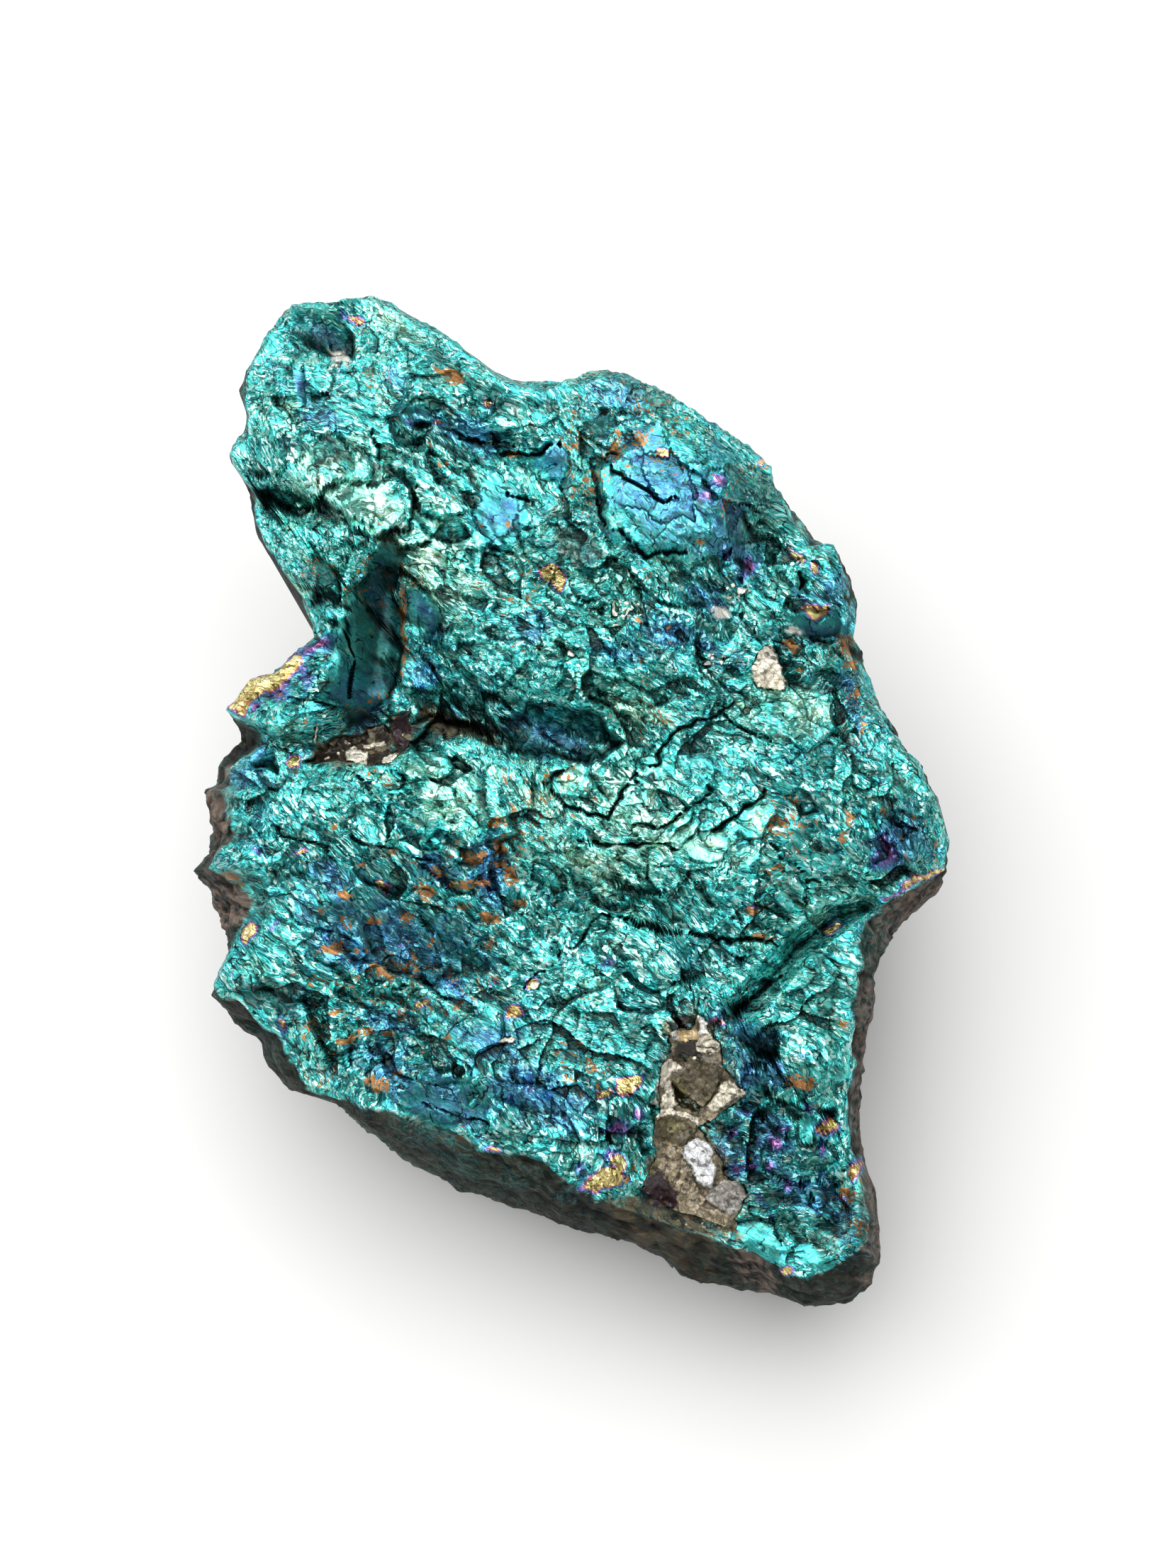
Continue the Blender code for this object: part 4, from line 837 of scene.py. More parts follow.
def drawn_in(u, v, keep):
    """Places moved to a share of their distance from the face's middle."""
    return FACE_MIDDLE[0] + (u - FACE_MIDDLE[0]) * keep, FACE_MIDDLE[1] + (v - FACE_MIDDLE[1]) * keep


def face_and_lip(angle, ring):
    """The broad face, ring 0 to 1, and the wall that shows around it, ring 1 to 2, the widest line."""
    reach, lip = outline_at(angle)
    share = held(ring)
    fall = held(ring - 1.0) * np.pi / 2.0
    rim = share * (reach - lip)
    radius = rim + lip * np.sin(fall)
    height = face_height(FACE_MIDDLE[0] + rim * np.cos(angle), FACE_MIDDLE[1] + rim * np.sin(angle), share)
    drop = (WALL_DEPTH + WALL_DEPTH_PER_LIP * lip) * (1.0 - np.cos(fall))
    u = FACE_MIDDLE[0] + radius * np.cos(angle)
    v = FACE_MIDDLE[1] + radius * np.sin(angle)
    return to_world(u, v, height - drop), u, v


def back(widest, ring):
    """The back of the stone, ring 2 to 3: a rounded bowl from the widest line to below the resting flat."""
    sweep = held(ring - 2.0) * np.pi / 2.0
    inward = (np.cos(sweep) ** BOWL_SQUARENESS)[:, None]
    level = widest[:, 2] - (widest[:, 2] + SOCKET_DEPTH) * np.sin(sweep)
    across = np.array(HEART[:2]) + (widest[:, :2] - np.array(HEART[:2])) * inward
    return np.column_stack((across, level))


def cut_back(points, breaks):
    """Places outside a flat break are drawn in towards the heart until they lie on it."""
    ray = points - np.array(HEART)
    keep = np.ones(len(points))
    for bearing, slope, distance in breaks:
        flat = np.cos(np.radians(slope))
        turn = np.radians(bearing)
        normal = np.array((flat * np.cos(turn), flat * np.sin(turn), -np.sin(np.radians(slope))))
        keep = np.minimum(keep, distance / np.maximum(ray @ normal, distance))
    return np.array(HEART) + ray * keep[:, None]


def inside_outline(points):
    """Places that stand outside the outline, as it is seen from in front, are drawn in to it. The edge is
    rough by a noise on the places themselves."""
    u, v, w = from_world(points)
    angle, radius = bearing_of(u, v)
    rough = EDGE_ROUGHNESS * (hills(points, (0.0, (1.0, 0.7, 261), (0.6, 0.3, 262))) - 0.4)
    keep = np.minimum(1.0, (outline_at(angle)[0] + rough) / np.maximum(radius, 1e-6))
    return to_world(*drawn_in(u, v, keep), w)


def stone_points(angle, ring):
    """Places on the stone for bearings around the face's middle and rings 0 to 3: the solid's form, pushed
    out along the line of sight on the face and away from the heart elsewhere by the fine relief."""
    front, u, v = face_and_lip(angle, np.minimum(ring, 2.0))
    points = np.where((ring > 2.0)[:, None], back(front, ring), front)
    points = cut_back(points, UNDER_BREAKS)
    outward = points - np.array(HEART)
    outward /= np.linalg.norm(outward, axis=1)[:, None]
    tilt = np.radians(FACE_TILT)
    facing = held((1.0 - ring) / FACING_BAND)
    push = outward * (1.0 - facing)[:, None] + np.array((0.0, -np.cos(tilt), np.sin(tilt))) * facing[:, None]
    calm = np.clip(np.maximum(1.0 - ring, ring - 2.0) / CALM_BAND, RIM_RELIEF, 1.0)
    for size, face_depth, back_depth, seed in CHIPS:
        depth = back_depth + (face_depth - back_depth) * facing
        relief = chips(points, size, seed) - BACK_SINK * (1.0 - facing)
        points = points + push * (depth * calm * relief)[:, None]
    on_face = ring <= 1.0
    fine = np.zeros(len(points))
    fine[on_face] = fine_face_height(u[on_face], v[on_face]) * facing[on_face]
    on_wall = facing < 1.0
    wall = wall_flakes(points[on_wall]) * (1.0 - facing[on_wall])
    rise = np.sin(np.pi * held(ring[on_wall] - 1.0))
    fine[on_wall] += wall * np.clip(calm[on_wall] + WALL_CALM + WALL_RISE * rise, 0.0, WALL_MOST)
    return cut_back(inside_outline(points + push * fine[:, None]), [REST_BREAK])


def disc_grid(count):
    """Bearings and rings of a square grid laid over a disc: each square shell becomes a circle, which
    keeps the cells' areas even."""
    line = np.linspace(-1.0, 1.0, count + 1)
    a, b = np.meshgrid(line, line)
    flat = np.abs(b) <= np.abs(a)
    wide = np.where(flat, a, b)
    narrow = np.where(flat, b, a)
    slant = np.divide(narrow, wide, out=np.zeros_like(wide), where=wide != 0.0) * np.pi / 4.0
    turn = np.where(flat, np.where(a >= 0.0, 0.0, np.pi), np.where(b > 0.0, np.pi / 2.0, 1.5 * np.pi))
    angle = turn + np.where(flat, slant, -slant)
    return np.mod(angle, FULL_TURN).ravel(), np.abs(wide).ravel()


def rim_order(count):
    """Numbers of the grid's edge points, anticlockwise from its lower right corner."""
    row = count + 1
    right = np.arange(0, count) * row + count
    top = count * row + np.arange(count, 0, -1)
    left = np.arange(count, 0, -1) * row
    return np.concatenate((right, top, left, np.arange(0, count)))


def grid_quads(count):
    """Four corners of each cell of a square grid, anticlockwise."""
    row = count + 1
    first = (np.arange(count)[:, None] * row + np.arange(count)[None, :]).ravel()
    return np.stack((first, first + 1, first + row + 1, first + row), axis=1)


def stone_grid(count):
    """Bearings, rings and cells of the whole closed surface: a disc for the face, rows of wall around it
    and a disc underneath, sharing the points where they meet."""
    angle, share = disc_grid(count)
    rim = rim_order(count)
    upper = np.linspace(1.0, 2.0, UPPER_ROWS + 1)[1:]
    lower = np.linspace(2.0, LOWER_WALL_END, LOWER_ROWS + 1)[1:-1]
    rows = np.concatenate((upper, lower))
    under_ring = 3.0 - (3.0 - LOWER_WALL_END) * share
    angles = np.concatenate((angle, np.tile(angle[rim], len(rows)), angle))
    rings = np.concatenate((share, np.repeat(rows, len(rim)), under_ring))
    under_start = len(angle) + len(rows) * len(rim)
    bands = [rim]
    bands += [len(angle) + k * len(rim) + np.arange(len(rim)) for k in range(len(rows))]
    bands += [under_start + rim]
    quads = [grid_quads(count)]
    for high, low in zip(bands[:-1], bands[1:]):
        quads.append(np.stack((high, low, np.roll(low, -1), np.roll(high, -1)), axis=1))
    quads.append(under_start + grid_quads(count)[:, ::-1])
    return angles, rings, np.concatenate(quads)


def mesh_of(name, points, faces):
    """A mesh from whole arrays of places in metres and of faces with the same number of corners."""
    mesh = bpy.data.meshes.new(name)
    corners = faces.shape[1]
    mesh.vertices.add(len(points))
    mesh.vertices.foreach_set("co", points.astype(np.float32).ravel())
    mesh.loops.add(faces.size)
    mesh.loops.foreach_set("vertex_index", faces.astype(np.int32).ravel())
    mesh.polygons.add(len(faces))
    mesh.polygons.foreach_set("loop_start", np.arange(0, faces.size, corners, dtype=np.int32))
    mesh.update(calc_edges=True)
    mesh.validate()
    return mesh


def link_piece(name, mesh, material):
    """Puts a finished mesh into the scene at the origin, with one material, riding on the stone's body."""
    mesh.materials.clear()
    mesh.materials.append(material)
    piece = bpy.data.objects.new(name, mesh)
    bpy.context.scene.collection.objects.link(piece)
    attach(piece, BODY)
    return piece


def place_values(mesh, name, values):
    """Stores one number for each vertex of a mesh."""
    mesh.attributes.new(name, "FLOAT", "POINT").data.foreach_set("value", values.astype(np.float32))


def place_tint(mesh, colours):
    """Stores one colour for each vertex of a mesh."""
    tint = mesh.attributes.new("tint", "FLOAT_COLOR", "POINT")
    tint.data.foreach_set("color", colours.astype(np.float32).ravel())


def vertex_places(mesh):
    """The vertices of a mesh as an array, in metres."""
    places = np.empty(len(mesh.vertices) * 3, np.float32)
    mesh.vertices.foreach_get("co", places)
    return places.reshape(-1, 3).astype(np.float64)


def thinned(mesh, most, rings):
    """The same surface with at most so many triangles: fewest on flat parts, the walls and the back."""
    item = bpy.data.objects.new("thinning", mesh)
    bpy.context.scene.collection.objects.link(item)
    group = item.vertex_groups.new(name="thin_more")
    group.add(np.flatnonzero(rings > THIN_FROM_RING).tolist(), 1.0, "REPLACE")
    group.add(np.flatnonzero(rings <= THIN_FROM_RING).tolist(), 0.02, "REPLACE")
    modifier = item.modifiers.new("thin", "DECIMATE")
    modifier.ratio = most / (2.0 * len(mesh.polygons))
    modifier.vertex_group = group.name
    modifier.vertex_group_factor = THIN_LESS_ON_FACE
    modifier.use_collapse_triangulate = True
    graph = bpy.context.evaluated_depsgraph_get()
    result = bpy.data.meshes.new_from_object(item.evaluated_get(graph), depsgraph=graph)
    bpy.data.objects.remove(item)
    return result


def hollowness(mesh, rounds):
    """How far each vertex lies below the average of its neighbours after some rounds of smoothing."""
    edges = np.empty(len(mesh.edges) * 2, np.int32)
    mesh.edges.foreach_get("vertices", edges)
    edges = edges.reshape(-1, 2)
    normals = np.empty(len(mesh.vertices) * 3, np.float32)
    mesh.vertices.foreach_get("normal", normals)
    places = vertex_places(mesh)
    count = np.bincount(edges.ravel(), minlength=len(places))
    smooth = places.copy()
    for _ in range(rounds):
        total = np.zeros_like(smooth)
        for axis in range(3):
            total[:, axis] = np.bincount(edges[:, 0], smooth[edges[:, 1], axis], len(places))
            total[:, axis] += np.bincount(edges[:, 1], smooth[edges[:, 0], axis], len(places))
        smooth = total / count[:, None]
    return ((smooth - places) * normals.reshape(-1, 3)).sum(axis=1) / MM


def lean_to(values, target, amount):
    """Values moved towards a target by an amount from 0 to 1."""
    return values + (target - values) * held(amount)


def face_share(u, v, ring, points):
    """How far each place belongs to the face and the narrow band of its film that runs on over the rim,
    from 1 there to 0 on the walls and the back. The band is narrower where the wall that shows is wide."""
    lip = outline_at(bearing_of(u, v)[0])[1]
    over = lip * np.sin(held(ring - 1.0) * np.pi / 2.0)
    edge = RIM_FILM_WIDTH * np.clip(1.5 - 0.5 * lip, 0.15, 1.0)
    edge = edge * hills(points, (1.0, (0.7, 1.5, 351), (0.5, 0.4, 352)))
    wall = np.maximum((over - edge) / RIM_FILM_FADE, (ring - RIM_FILM_END) / RIM_FILM_END_FADE)
    return 1.0 - held(wall)


def tarnish(u, v, ring, face, points):
    """Thickness of the tarnish film, from 0 for gold through violet and blue to 1 for pale mint. The marks
    of the face run on over the wall that shows around it."""
    places = flat_places(u, v)
    wander = hills(places, (0.0, (0.035, 6.0, 301), (0.03, 1.7, 302), (0.03, 0.5, 303)))
    film = FILM_TEAL + wander
    ragged = hills(places, (1.0, (0.25, 0.8, 304), (0.2, 0.35, 305)))
    for spots, level, strength, reach in FILM_SPOTS:
        for spot in spots:
            film = lean_to(film, level + wander, strength * (reach - spot_reach(u, v, spot) * ragged))
    wall = hills(points, (0.74, (0.12, 5.0, 311), (0.08, 1.6, 312)))
    thin = held(soft_noise(points, 3.3, 313) * 2.2 - 1.1)
    wall -= WALL_THIN * thin * (ring > 2.1)
    film = film * face + np.clip(wall, 0.02, 1.0) * (1.0 - face)
    pale = hills(places, (0.05, (0.07, 0.9, 306)))
    for spot in GOLD:
        gold = pale + 2.2 * np.clip(spot_reach(u, v, spot) * ragged - 0.9, 0.0, 2.0)
        film = np.minimum(film, gold + gold_end(ring, points))
    return film


def gold_end(ring, points):
    """How far the gold has died out on its way down the wall: 0 on the face and 1 below, with a broken
    edge."""
    amount, size, seed = (0.45, 1.1, 314)
    return held((ring - GOLD_END_RING - amount * soft_noise(points, size, seed)) / GOLD_END_FADE)


def spots_value(u, v, spots, soft):
    """Highest belonging of each place to any of the spots, from 1 inside to 0 outside."""
    ragged = hills(flat_places(u, v), (1.0, (0.3, 0.7, 321), (0.25, 0.3, 322)))
    value = np.zeros(len(u))
    for spot in spots:
        value = np.maximum(value, held((1.0 + soft - spot_reach(u, v, spot) * ragged) / soft))
    return value


def colour_stone(mesh, shift):
    """Stores on the stone's vertices all that its material reads, by the marks of the face and by slow
    noises on the walls and the back."""
    points = vertex_places(mesh) / MM - shift
    ring = np.empty(len(points), np.float32)
    mesh.attributes["ring"].data.foreach_get("value", ring)
    u, v = from_world(points)[:2]
    face = face_share(u, v, ring, points)
    u, v = ragged_places(u, v)
    back_film = 0.4 * held(1.3 * soft_noise(points, 4.2, 331) * (ring - 1.7))
    dull = np.maximum(0.6 * spots_value(u, v, DULL, 0.5) * face, (1.0 - face) * (1.0 - back_film))
    dull *= 1.0 - spots_value(u, v, GOLD, 0.6) * (1.0 - gold_end(ring, points))
    warm = spots_value(u, v, WARM, 0.5) * (ring < 2.2)
    warm = np.maximum(warm, (ring > 1.9) * held(0.3 + 1.2 * soft_noise(points, 6.0, 332)))
    shade = np.max([spot[5] * spots_value(u, v, [spot], 0.3) for spot in DARK], axis=0)
    # Painted shade: how far each place lies in a crack or a hollow, from which the material darkens it, and
    # lightens places that stand above their neighbours
    deep = 0.85 * (crack_gap(u, v, CRACKS)[1] ** 1.5 * face)
    hollow = sum(np.clip(hollowness(mesh, rounds) / full, -1.0, 1.0) * weight
                 for rounds, full, weight in HOLLOW_SHADING)
    values = {
        "film": tarnish(u, v, ring, face, points), "dull": dull, "warm": warm, "shade": shade * face,
        "copper": spots_value(u, v, COPPER, 0.4) * face, "smooth": facet_relief(u, v)[1] * face,
        "crust": spots_value(u, v, CRUST, 0.3) * face,
        "earth": spots_value(u, v, EARTH, 0.4) * (0.3 + 0.7 * face),
        "speckle": held(soft_noise(points, 3.4, 341) * 1.3 - 0.3),
        "hollow": np.clip(hollow + deep, -1.0, 1.0),
    }
    for name, numbers in values.items():
        place_values(mesh, name, numbers)


def node(tree, kind, inputs, **own):
    """Adds one shader node, sets its own properties, and links or sets its inputs by name or number."""
    item = tree.nodes.new("ShaderNode" + kind)
    for key, value in own.items():
        setattr(item, key, value)
    for key, value in inputs.items():
        if isinstance(value, bpy.types.NodeSocket):
            tree.links.new(value, item.inputs[key])
        else:
            item.inputs[key].default_value = value
    return item


def reading(tree, name):
    """A value stored on the mesh's vertices."""
    return node(tree, "Attribute", {}, attribute_name=name).outputs["Fac"]


def maths(tree, operation, *values, clamp=False):
    """One sum on numbers."""
    return node(tree, "Math", dict(enumerate(values)), operation=operation, use_clamp=clamp).outputs[0]


def vectors(tree, operation, *values):
    """One sum on vectors."""
    return node(tree, "VectorMath", dict(enumerate(values)), operation=operation).outputs[0]


def scaled(tree, vector, amount):
    """A vector or a colour times a number."""
    return node(tree, "VectorMath", {0: vector, "Scale": amount}, operation="SCALE").outputs[0]


def times(tree, first, second):
    """Product of two numbers."""
    return maths(tree, "MULTIPLY", first, second)


def less(tree, first, second):
    """First number less the second."""
    return maths(tree, "SUBTRACT", first, second)


def off_middle(tree, colour, amount):
    """A random colour as a push: each of its numbers less a half, times an amount."""
    return scaled(tree, vectors(tree, "SUBTRACT", colour, (0.5, 0.5, 0.5)), amount)


def parts_of(tree, colour):
    """The three numbers of a colour."""
    return node(tree, "SeparateColor", {0: colour}).outputs


def mixed(tree, amount, first, second):
    """Two colours mixed by an amount from 0 to 1."""
    inputs = {0: amount, 6: first, 7: second}
    return node(tree, "Mix", inputs, data_type="RGBA", clamp_factor=True).outputs[2]


def ranged(tree, value, limits):
    """A number moved from one range to another, held at the new range's ends."""
    inputs = {0: value, **dict(enumerate(limits, 1))}
    return node(tree, "MapRange", inputs, clamp=True).outputs[0]


def ramp(tree, value, stops):
    """Colours along a number from 0 to 1."""
    item = node(tree, "ValToRGB", {0: value})
    elements = item.color_ramp.elements
    elements[0].position, elements[0].color = stops[0][0], stops[0][1]
    elements[1].position, elements[1].color = stops[-1][0], stops[-1][1]
    for position, colour in stops[1:-1]:
        elements.new(position).color = colour
    return item.outputs[0]


def grain_places(tree, stretch):
    """Object coordinates in millimetres, turned so that X runs along the ore's grain, and squeezed along
    it."""
    place = node(tree, "TexCoord", {}).outputs["Object"]
    face = node(tree, "Mapping", {"Vector": place, "Rotation": (np.radians(FACE_TILT - 90.0), 0.0, 0.0),
                                  "Scale": (1.0 / MM, 1.0 / MM, 1.0 / MM)}).outputs[0]
    inputs = {"Vector": face, "Rotation": (0.0, 0.0, -np.radians(GRAIN_DIRECTION))}
    grain = node(tree, "Mapping", inputs).outputs[0]
    return vectors(tree, "MULTIPLY", grain, (1.0 / stretch, 1.0, 1.0))


def noise(tree, place, scale, detail, roughness=0.55):
    """A soft three-dimensional noise: its number and its colour."""
    inputs = {"Vector": place, "Scale": scale, "Detail": detail, "Roughness": roughness}
    item = node(tree, "TexNoise", inputs, noise_dimensions="3D")
    return item.outputs[0], item.outputs[1]


def cells(tree, place, scale, feature, output):
    """Small random cells: the colour of the nearest one, or the distance to the border."""
    inputs = {"Vector": place, "Scale": scale, "Randomness": 1.0}
    return node(tree, "TexVoronoi", inputs, voronoi_dimensions="3D", feature=feature).outputs[output]


def cell_colour(tree, place, scale):
    """A random colour for each of many small cells."""
    return cells(tree, place, scale, "F1", "Color")


def cell_borders(tree, place, scale):
    """Distance to the border between small cells."""
    return cells(tree, place, scale, "DISTANCE_TO_EDGE", "Distance")


def new_material(name):
    """An empty node material with one Principled shader."""
    material = bpy.data.materials.new(name)
    material.use_nodes = True
    tree = material.node_tree
    return material, tree, tree.nodes["Principled BSDF"]


def plug(tree, shader, **sockets):
    """Links or sets sockets of the shader; a low line in a name stands for a space."""
    for key, value in sockets.items():
        socket = shader.inputs[key.replace("_", " ")]
        if isinstance(value, bpy.types.NodeSocket):
            tree.links.new(value, socket)
        else:
            socket.default_value = value


def crumple(tree, place, amounts):
    """A surface normal tipped at random, alike over each small cell, as the flakes of crumpled foil are,
    and the three random numbers of the cells."""
    normal = node(tree, "NewGeometry", {}).outputs["Normal"]
    parts = []
    for scale, amount in amounts:
        colour = cell_colour(tree, place, scale)
        normal = vectors(tree, "ADD", normal, off_middle(tree, colour, amount))
        parts.append(parts_of(tree, colour))
    return vectors(tree, "NORMALIZE", normal), parts


def foil_ridges(tree, place):
    """Sharp winding ridges as of crumpled foil, from 0 on a crease. Each plate turns them its own way."""
    plate = parts_of(tree, cell_colour(tree, place, 0.45))
    inputs = {"Vector": place, "Angle": ranged(tree, plate[0], (0.0, 1.0, -0.9, 0.9))}
    foil = node(tree, "VectorRotate", inputs, rotation_type="Z_AXIS").outputs[0]
    height = noise(tree, vectors(tree, "MULTIPLY", foil, (1.0, 2.4, 1.0)), 1.9, 3.0, 0.62)[0]
    return maths(tree, "ABSOLUTE", less(tree, height, 0.5))


def ore_places(tree):
    """Places along the grain, pushed about by a slow swirl and a quicker drift."""
    grain = grain_places(tree, 1.6)
    wavy = grain
    for scale, detail, push in SKIN_PUSHES:
        wavy = vectors(tree, "ADD", wavy, off_middle(tree, noise(tree, grain, scale, detail)[1], push))
    return wavy


def calmed(tree, normal, smooth):
    """A tipped normal laid back towards the surface's own where the stone is smooth."""
    bare = node(tree, "NewGeometry", {}).outputs["Normal"]
    inputs = {0: times(tree, smooth, 0.95), 4: normal, 5: bare}
    return vectors(tree, "NORMALIZE", node(tree, "Mix", inputs, data_type="VECTOR").outputs[1])


def film_colour(tree, hues, wavy, skin, ridges, fine, clump, smooth):
    """Colour of the tarnish: by the film's thickness, a little different on each flake in film and in
    brightness, the brightness partly painted sparkle; painted shade in creases and seams; and painted glints
    that make single flakes paler."""
    flake, shard, glint = skin
    jitter = maths(tree, "ADD", times(tree, flake[0], FLAKE_FILM), times(tree, shard[0], SHARD_FILM))
    film = maths(tree, "ADD", reading(tree, "film"), less(tree, jitter, (FLAKE_FILM + SHARD_FILM) / 2.0))
    film = maths(tree, "ADD", film, ranged(tree, fine, (0.3, 0.7, -0.06, 0.06)), clamp=True)
    colour = ramp(tree, film, [(place, getattr(hues, name)) for place, name in FILM_STOPS])
    # Each flake gets a random brightness, its own tone and partly painted sparkle; the creases of the foil
    # and the borders between its cells are darkened as painted shade
    value = ranged(tree, shard[1], (0.0, 1.0, 0.6, 1.45))
    crease = cell_borders(tree, wavy, 2.6)
    for number, limits in ((glint[2], (0.0, 1.0, 0.55, 1.5)), (ridges, (0.0, 0.04, 0.35, 1.15)),
                           (crease, (0.02, 0.07, 0.4, 1.1))):
        value = times(tree, value, ranged(tree, number, limits))
    evening = times(tree, less(tree, 0.9, value), times(tree, smooth, 0.85))
    colour = scaled(tree, colour, maths(tree, "ADD", value, evening))
    # Painted glints: single flakes made paler and, where the film is thick, mixed towards the glint colour
    bright = times(tree, ranged(tree, glint[1], (0.74, 0.78, 0.0, 0.75)), less(tree, 1.0, smooth))
    colour = scaled(tree, colour, maths(tree, "ADD", 1.0, times(tree, bright, 0.7)))
    colour = mixed(tree, times(tree, bright, ranged(tree, film, (0.55, 0.7, 0.0, 1.0))), colour, hues.glint)
    # Painted shade in the seams between flakes, where a slow noise lets it show
    seam_shade = ranged(tree, cell_borders(tree, wavy, 1.4), (0.02, 0.05, 1.0, 0.0))
    seam_shade = times(tree, seam_shade, ranged(tree, clump, (0.5, 0.42, 0.0, 0.9)))
    return scaled(tree, colour, less(tree, 1.0, seam_shade))


def wall_colour(tree, hues, wavy):
    """Colour of the dull walls: dark and paler stripes, warmer where the stone is brown. The colours are
    kept very dark, partly as painted shade.
    """
    streaks = noise(tree, vectors(tree, "MULTIPLY", wavy, (2.6, 2.6, 1.1)), 1.0, 4.0)[0]
    striped = ranged(tree, streaks, (0.38, 0.66, 0.0, 1.0))
    plain = mixed(tree, striped, hues.dull_dark, hues.dull_light)
    return mixed(tree, reading(tree, "warm"), plain, mixed(tree, striped, hues.warm_dark, hues.warm_light))


def ore_material(hues):
    """Tarnished ore. A thin film over bright metal takes its colour from its thickness: gold, magenta,
    violet, blue, teal, mint. The skin is broken into tiny flakes with their own lean, film and gloss;
    hollows and cracks are painted nearly black as painted shade, ridges a little paler as painted light,
    worn specks show copper, and the walls are dull, striped and kept dark, partly as painted shade."""
    material, tree, shader = new_material("tarnished_ore")
    wavy = ore_places(tree)
    smooth = reading(tree, "smooth")
    normal, skin = crumple(tree, wavy, SKIN_CELLS)
    normal = calmed(tree, normal, smooth)
    ridges = foil_ridges(tree, wavy)
    fine = noise(tree, wavy, 3.5, 2.0)[0]
    clump = noise(tree, wavy, 1.2, 2.0)[0]
    shard, glint = skin[1:]
    colour = film_colour(tree, hues, wavy, skin, ridges, fine, clump, smooth)

    fleck = parts_of(tree, cell_colour(tree, wavy, 7.5))[0]
    worn = times(tree, reading(tree, "speckle"), ranged(tree, clump, (0.5, 0.64, 0.0, 0.62)))
    worn = maths(tree, "MAXIMUM", times(tree, reading(tree, "copper"), 0.85), worn)
    copper = maths(tree, "GREATER_THAN", worn, fleck)
    colour = mixed(tree, copper, colour, mixed(tree, glint[2], hues.copper, hues.rust))
    dull = times(tree, reading(tree, "dull"), ranged(tree, fine, (0.3, 0.6, 0.94, 1.0)))
    colour = mixed(tree, dull, colour, wall_colour(tree, hues, wavy))
    earth = reading(tree, "earth")
    earth_colour = mixed(tree, shard[0], hues.earth_dark, hues.earth_light)
    colour = mixed(tree, times(tree, earth, 0.85), colour, earth_colour)
    # Painted shade in hollows and cracks and painted light on ridges, from the hollow value, times the
    # painted shade of the spots in DARK
    shade = ranged(tree, reading(tree, "hollow"), (-0.4, 0.7, 1.25, 0.1))
    colour = scaled(tree, colour, times(tree, shade, less(tree, 1.0, reading(tree, "shade"))))
    crust = times(tree, reading(tree, "crust"), ranged(tree, fine, (0.38, 0.46, 0.0, 1.0)))
    colour = mixed(tree, crust, colour, hues.crust)

    rough = ranged(tree, glint[0], (0.0, 1.0, hues.gloss_low, hues.gloss_high))
    rough = maths(tree, "ADD", rough, times(tree, dull, 0.4))
    rough = maths(tree, "ADD", rough, times(tree, copper, 0.2), clamp=True)
    metal = less(tree, hues.metal, times(tree, dull, 0.75))
    metal = less(tree, metal, times(tree, copper, 0.3))
    metal = maths(tree, "MULTIPLY", metal, less(tree, 1.0, crust), clamp=True)
    strength = less(tree, 0.65, times(tree, smooth, 0.6))
    bump = node(tree, "Bump", {"Height": ridges, "Normal": normal, "Distance": 0.00025,
                               "Strength": strength})
    bare = maths(tree, "MAXIMUM", maths(tree, "MAXIMUM", dull, earth), copper)
    coat = maths(tree, "MULTIPLY", less(tree, 1.0, bare), hues.coat, clamp=True)
    plug(tree, shader, Base_Color=colour, Metallic=metal, Roughness=rough, Normal=bump.outputs[0],
         Specular_Tint=hues.edge, Specular_IOR_Level=0.2, Coat_Roughness=0.25, Coat_Weight=coat)
    return material


def quartz_material(name, hues):
    """Broken quartz. Each chip has its own tint, stored on the mesh. Fine stripes run along it where it is
    striped, dark specks lie in it, and its colour is uneven in small clouds."""
    material, tree, shader = new_material(name)
    tint = node(tree, "Attribute", {}, attribute_name="tint").outputs["Color"]
    striped = reading(tree, "striped")
    inputs = {0: times(tree, reading(tree, "along"), 0.9),
              1: times(tree, reading(tree, "across"), 4.0), 2: reading(tree, "level")}
    stripes = noise(tree, node(tree, "CombineXYZ", inputs).outputs[0], 1.0, 3.0, 0.6)[0]
    place = grain_places(tree, 1.3)
    cloud = noise(tree, place, 3.2, 5.0, 0.7)[0]
    crumb = cell_borders(tree, place, 3.4)
    normal, skin = crumple(tree, place, QUARTZ_CELLS)
    shard = skin[1]
    value = ranged(tree, cloud, (0.3, 0.7, 0.5, 1.45))
    value = times(tree, value, ranged(tree, shard[0], (0.0, 1.0, 0.65, 1.35)))
    value = times(tree, value, ranged(tree, crumb, (0.01, 0.07, 0.45, 1.0)))
    dark = times(tree, ranged(tree, stripes, (0.43, 0.49, 1.0, 0.0)), striped)
    dark = maths(tree, "MAXIMUM", dark, ranged(tree, shard[1], (0.06, 0.1, 0.8, 0.0)))
    colour = mixed(tree, times(tree, dark, 0.92), scaled(tree, tint, value), hues.speck)
    height = maths(tree, "ADD", times(tree, stripes, striped), cloud)
    bump = node(tree, "Bump", {"Height": height, "Normal": normal, "Strength": 0.6, "Distance": 0.00012})
    plug(tree, shader, Base_Color=colour, Roughness=0.34, IOR=1.55, Normal=bump.outputs[0], Coat_Weight=0.25,
         Coat_Roughness=0.12)
    return material


def ring_at(u, v):
    """Bearings and rings of places on the face."""
    angle, distance = bearing_of(u, v)
    reach, lip = outline_at(angle)
    return angle, distance / (reach - lip)


def surface_height(u, v):
    """Height w of the finished surface at places on the face."""
    return from_world(stone_points(*ring_at(u, v)))[2]


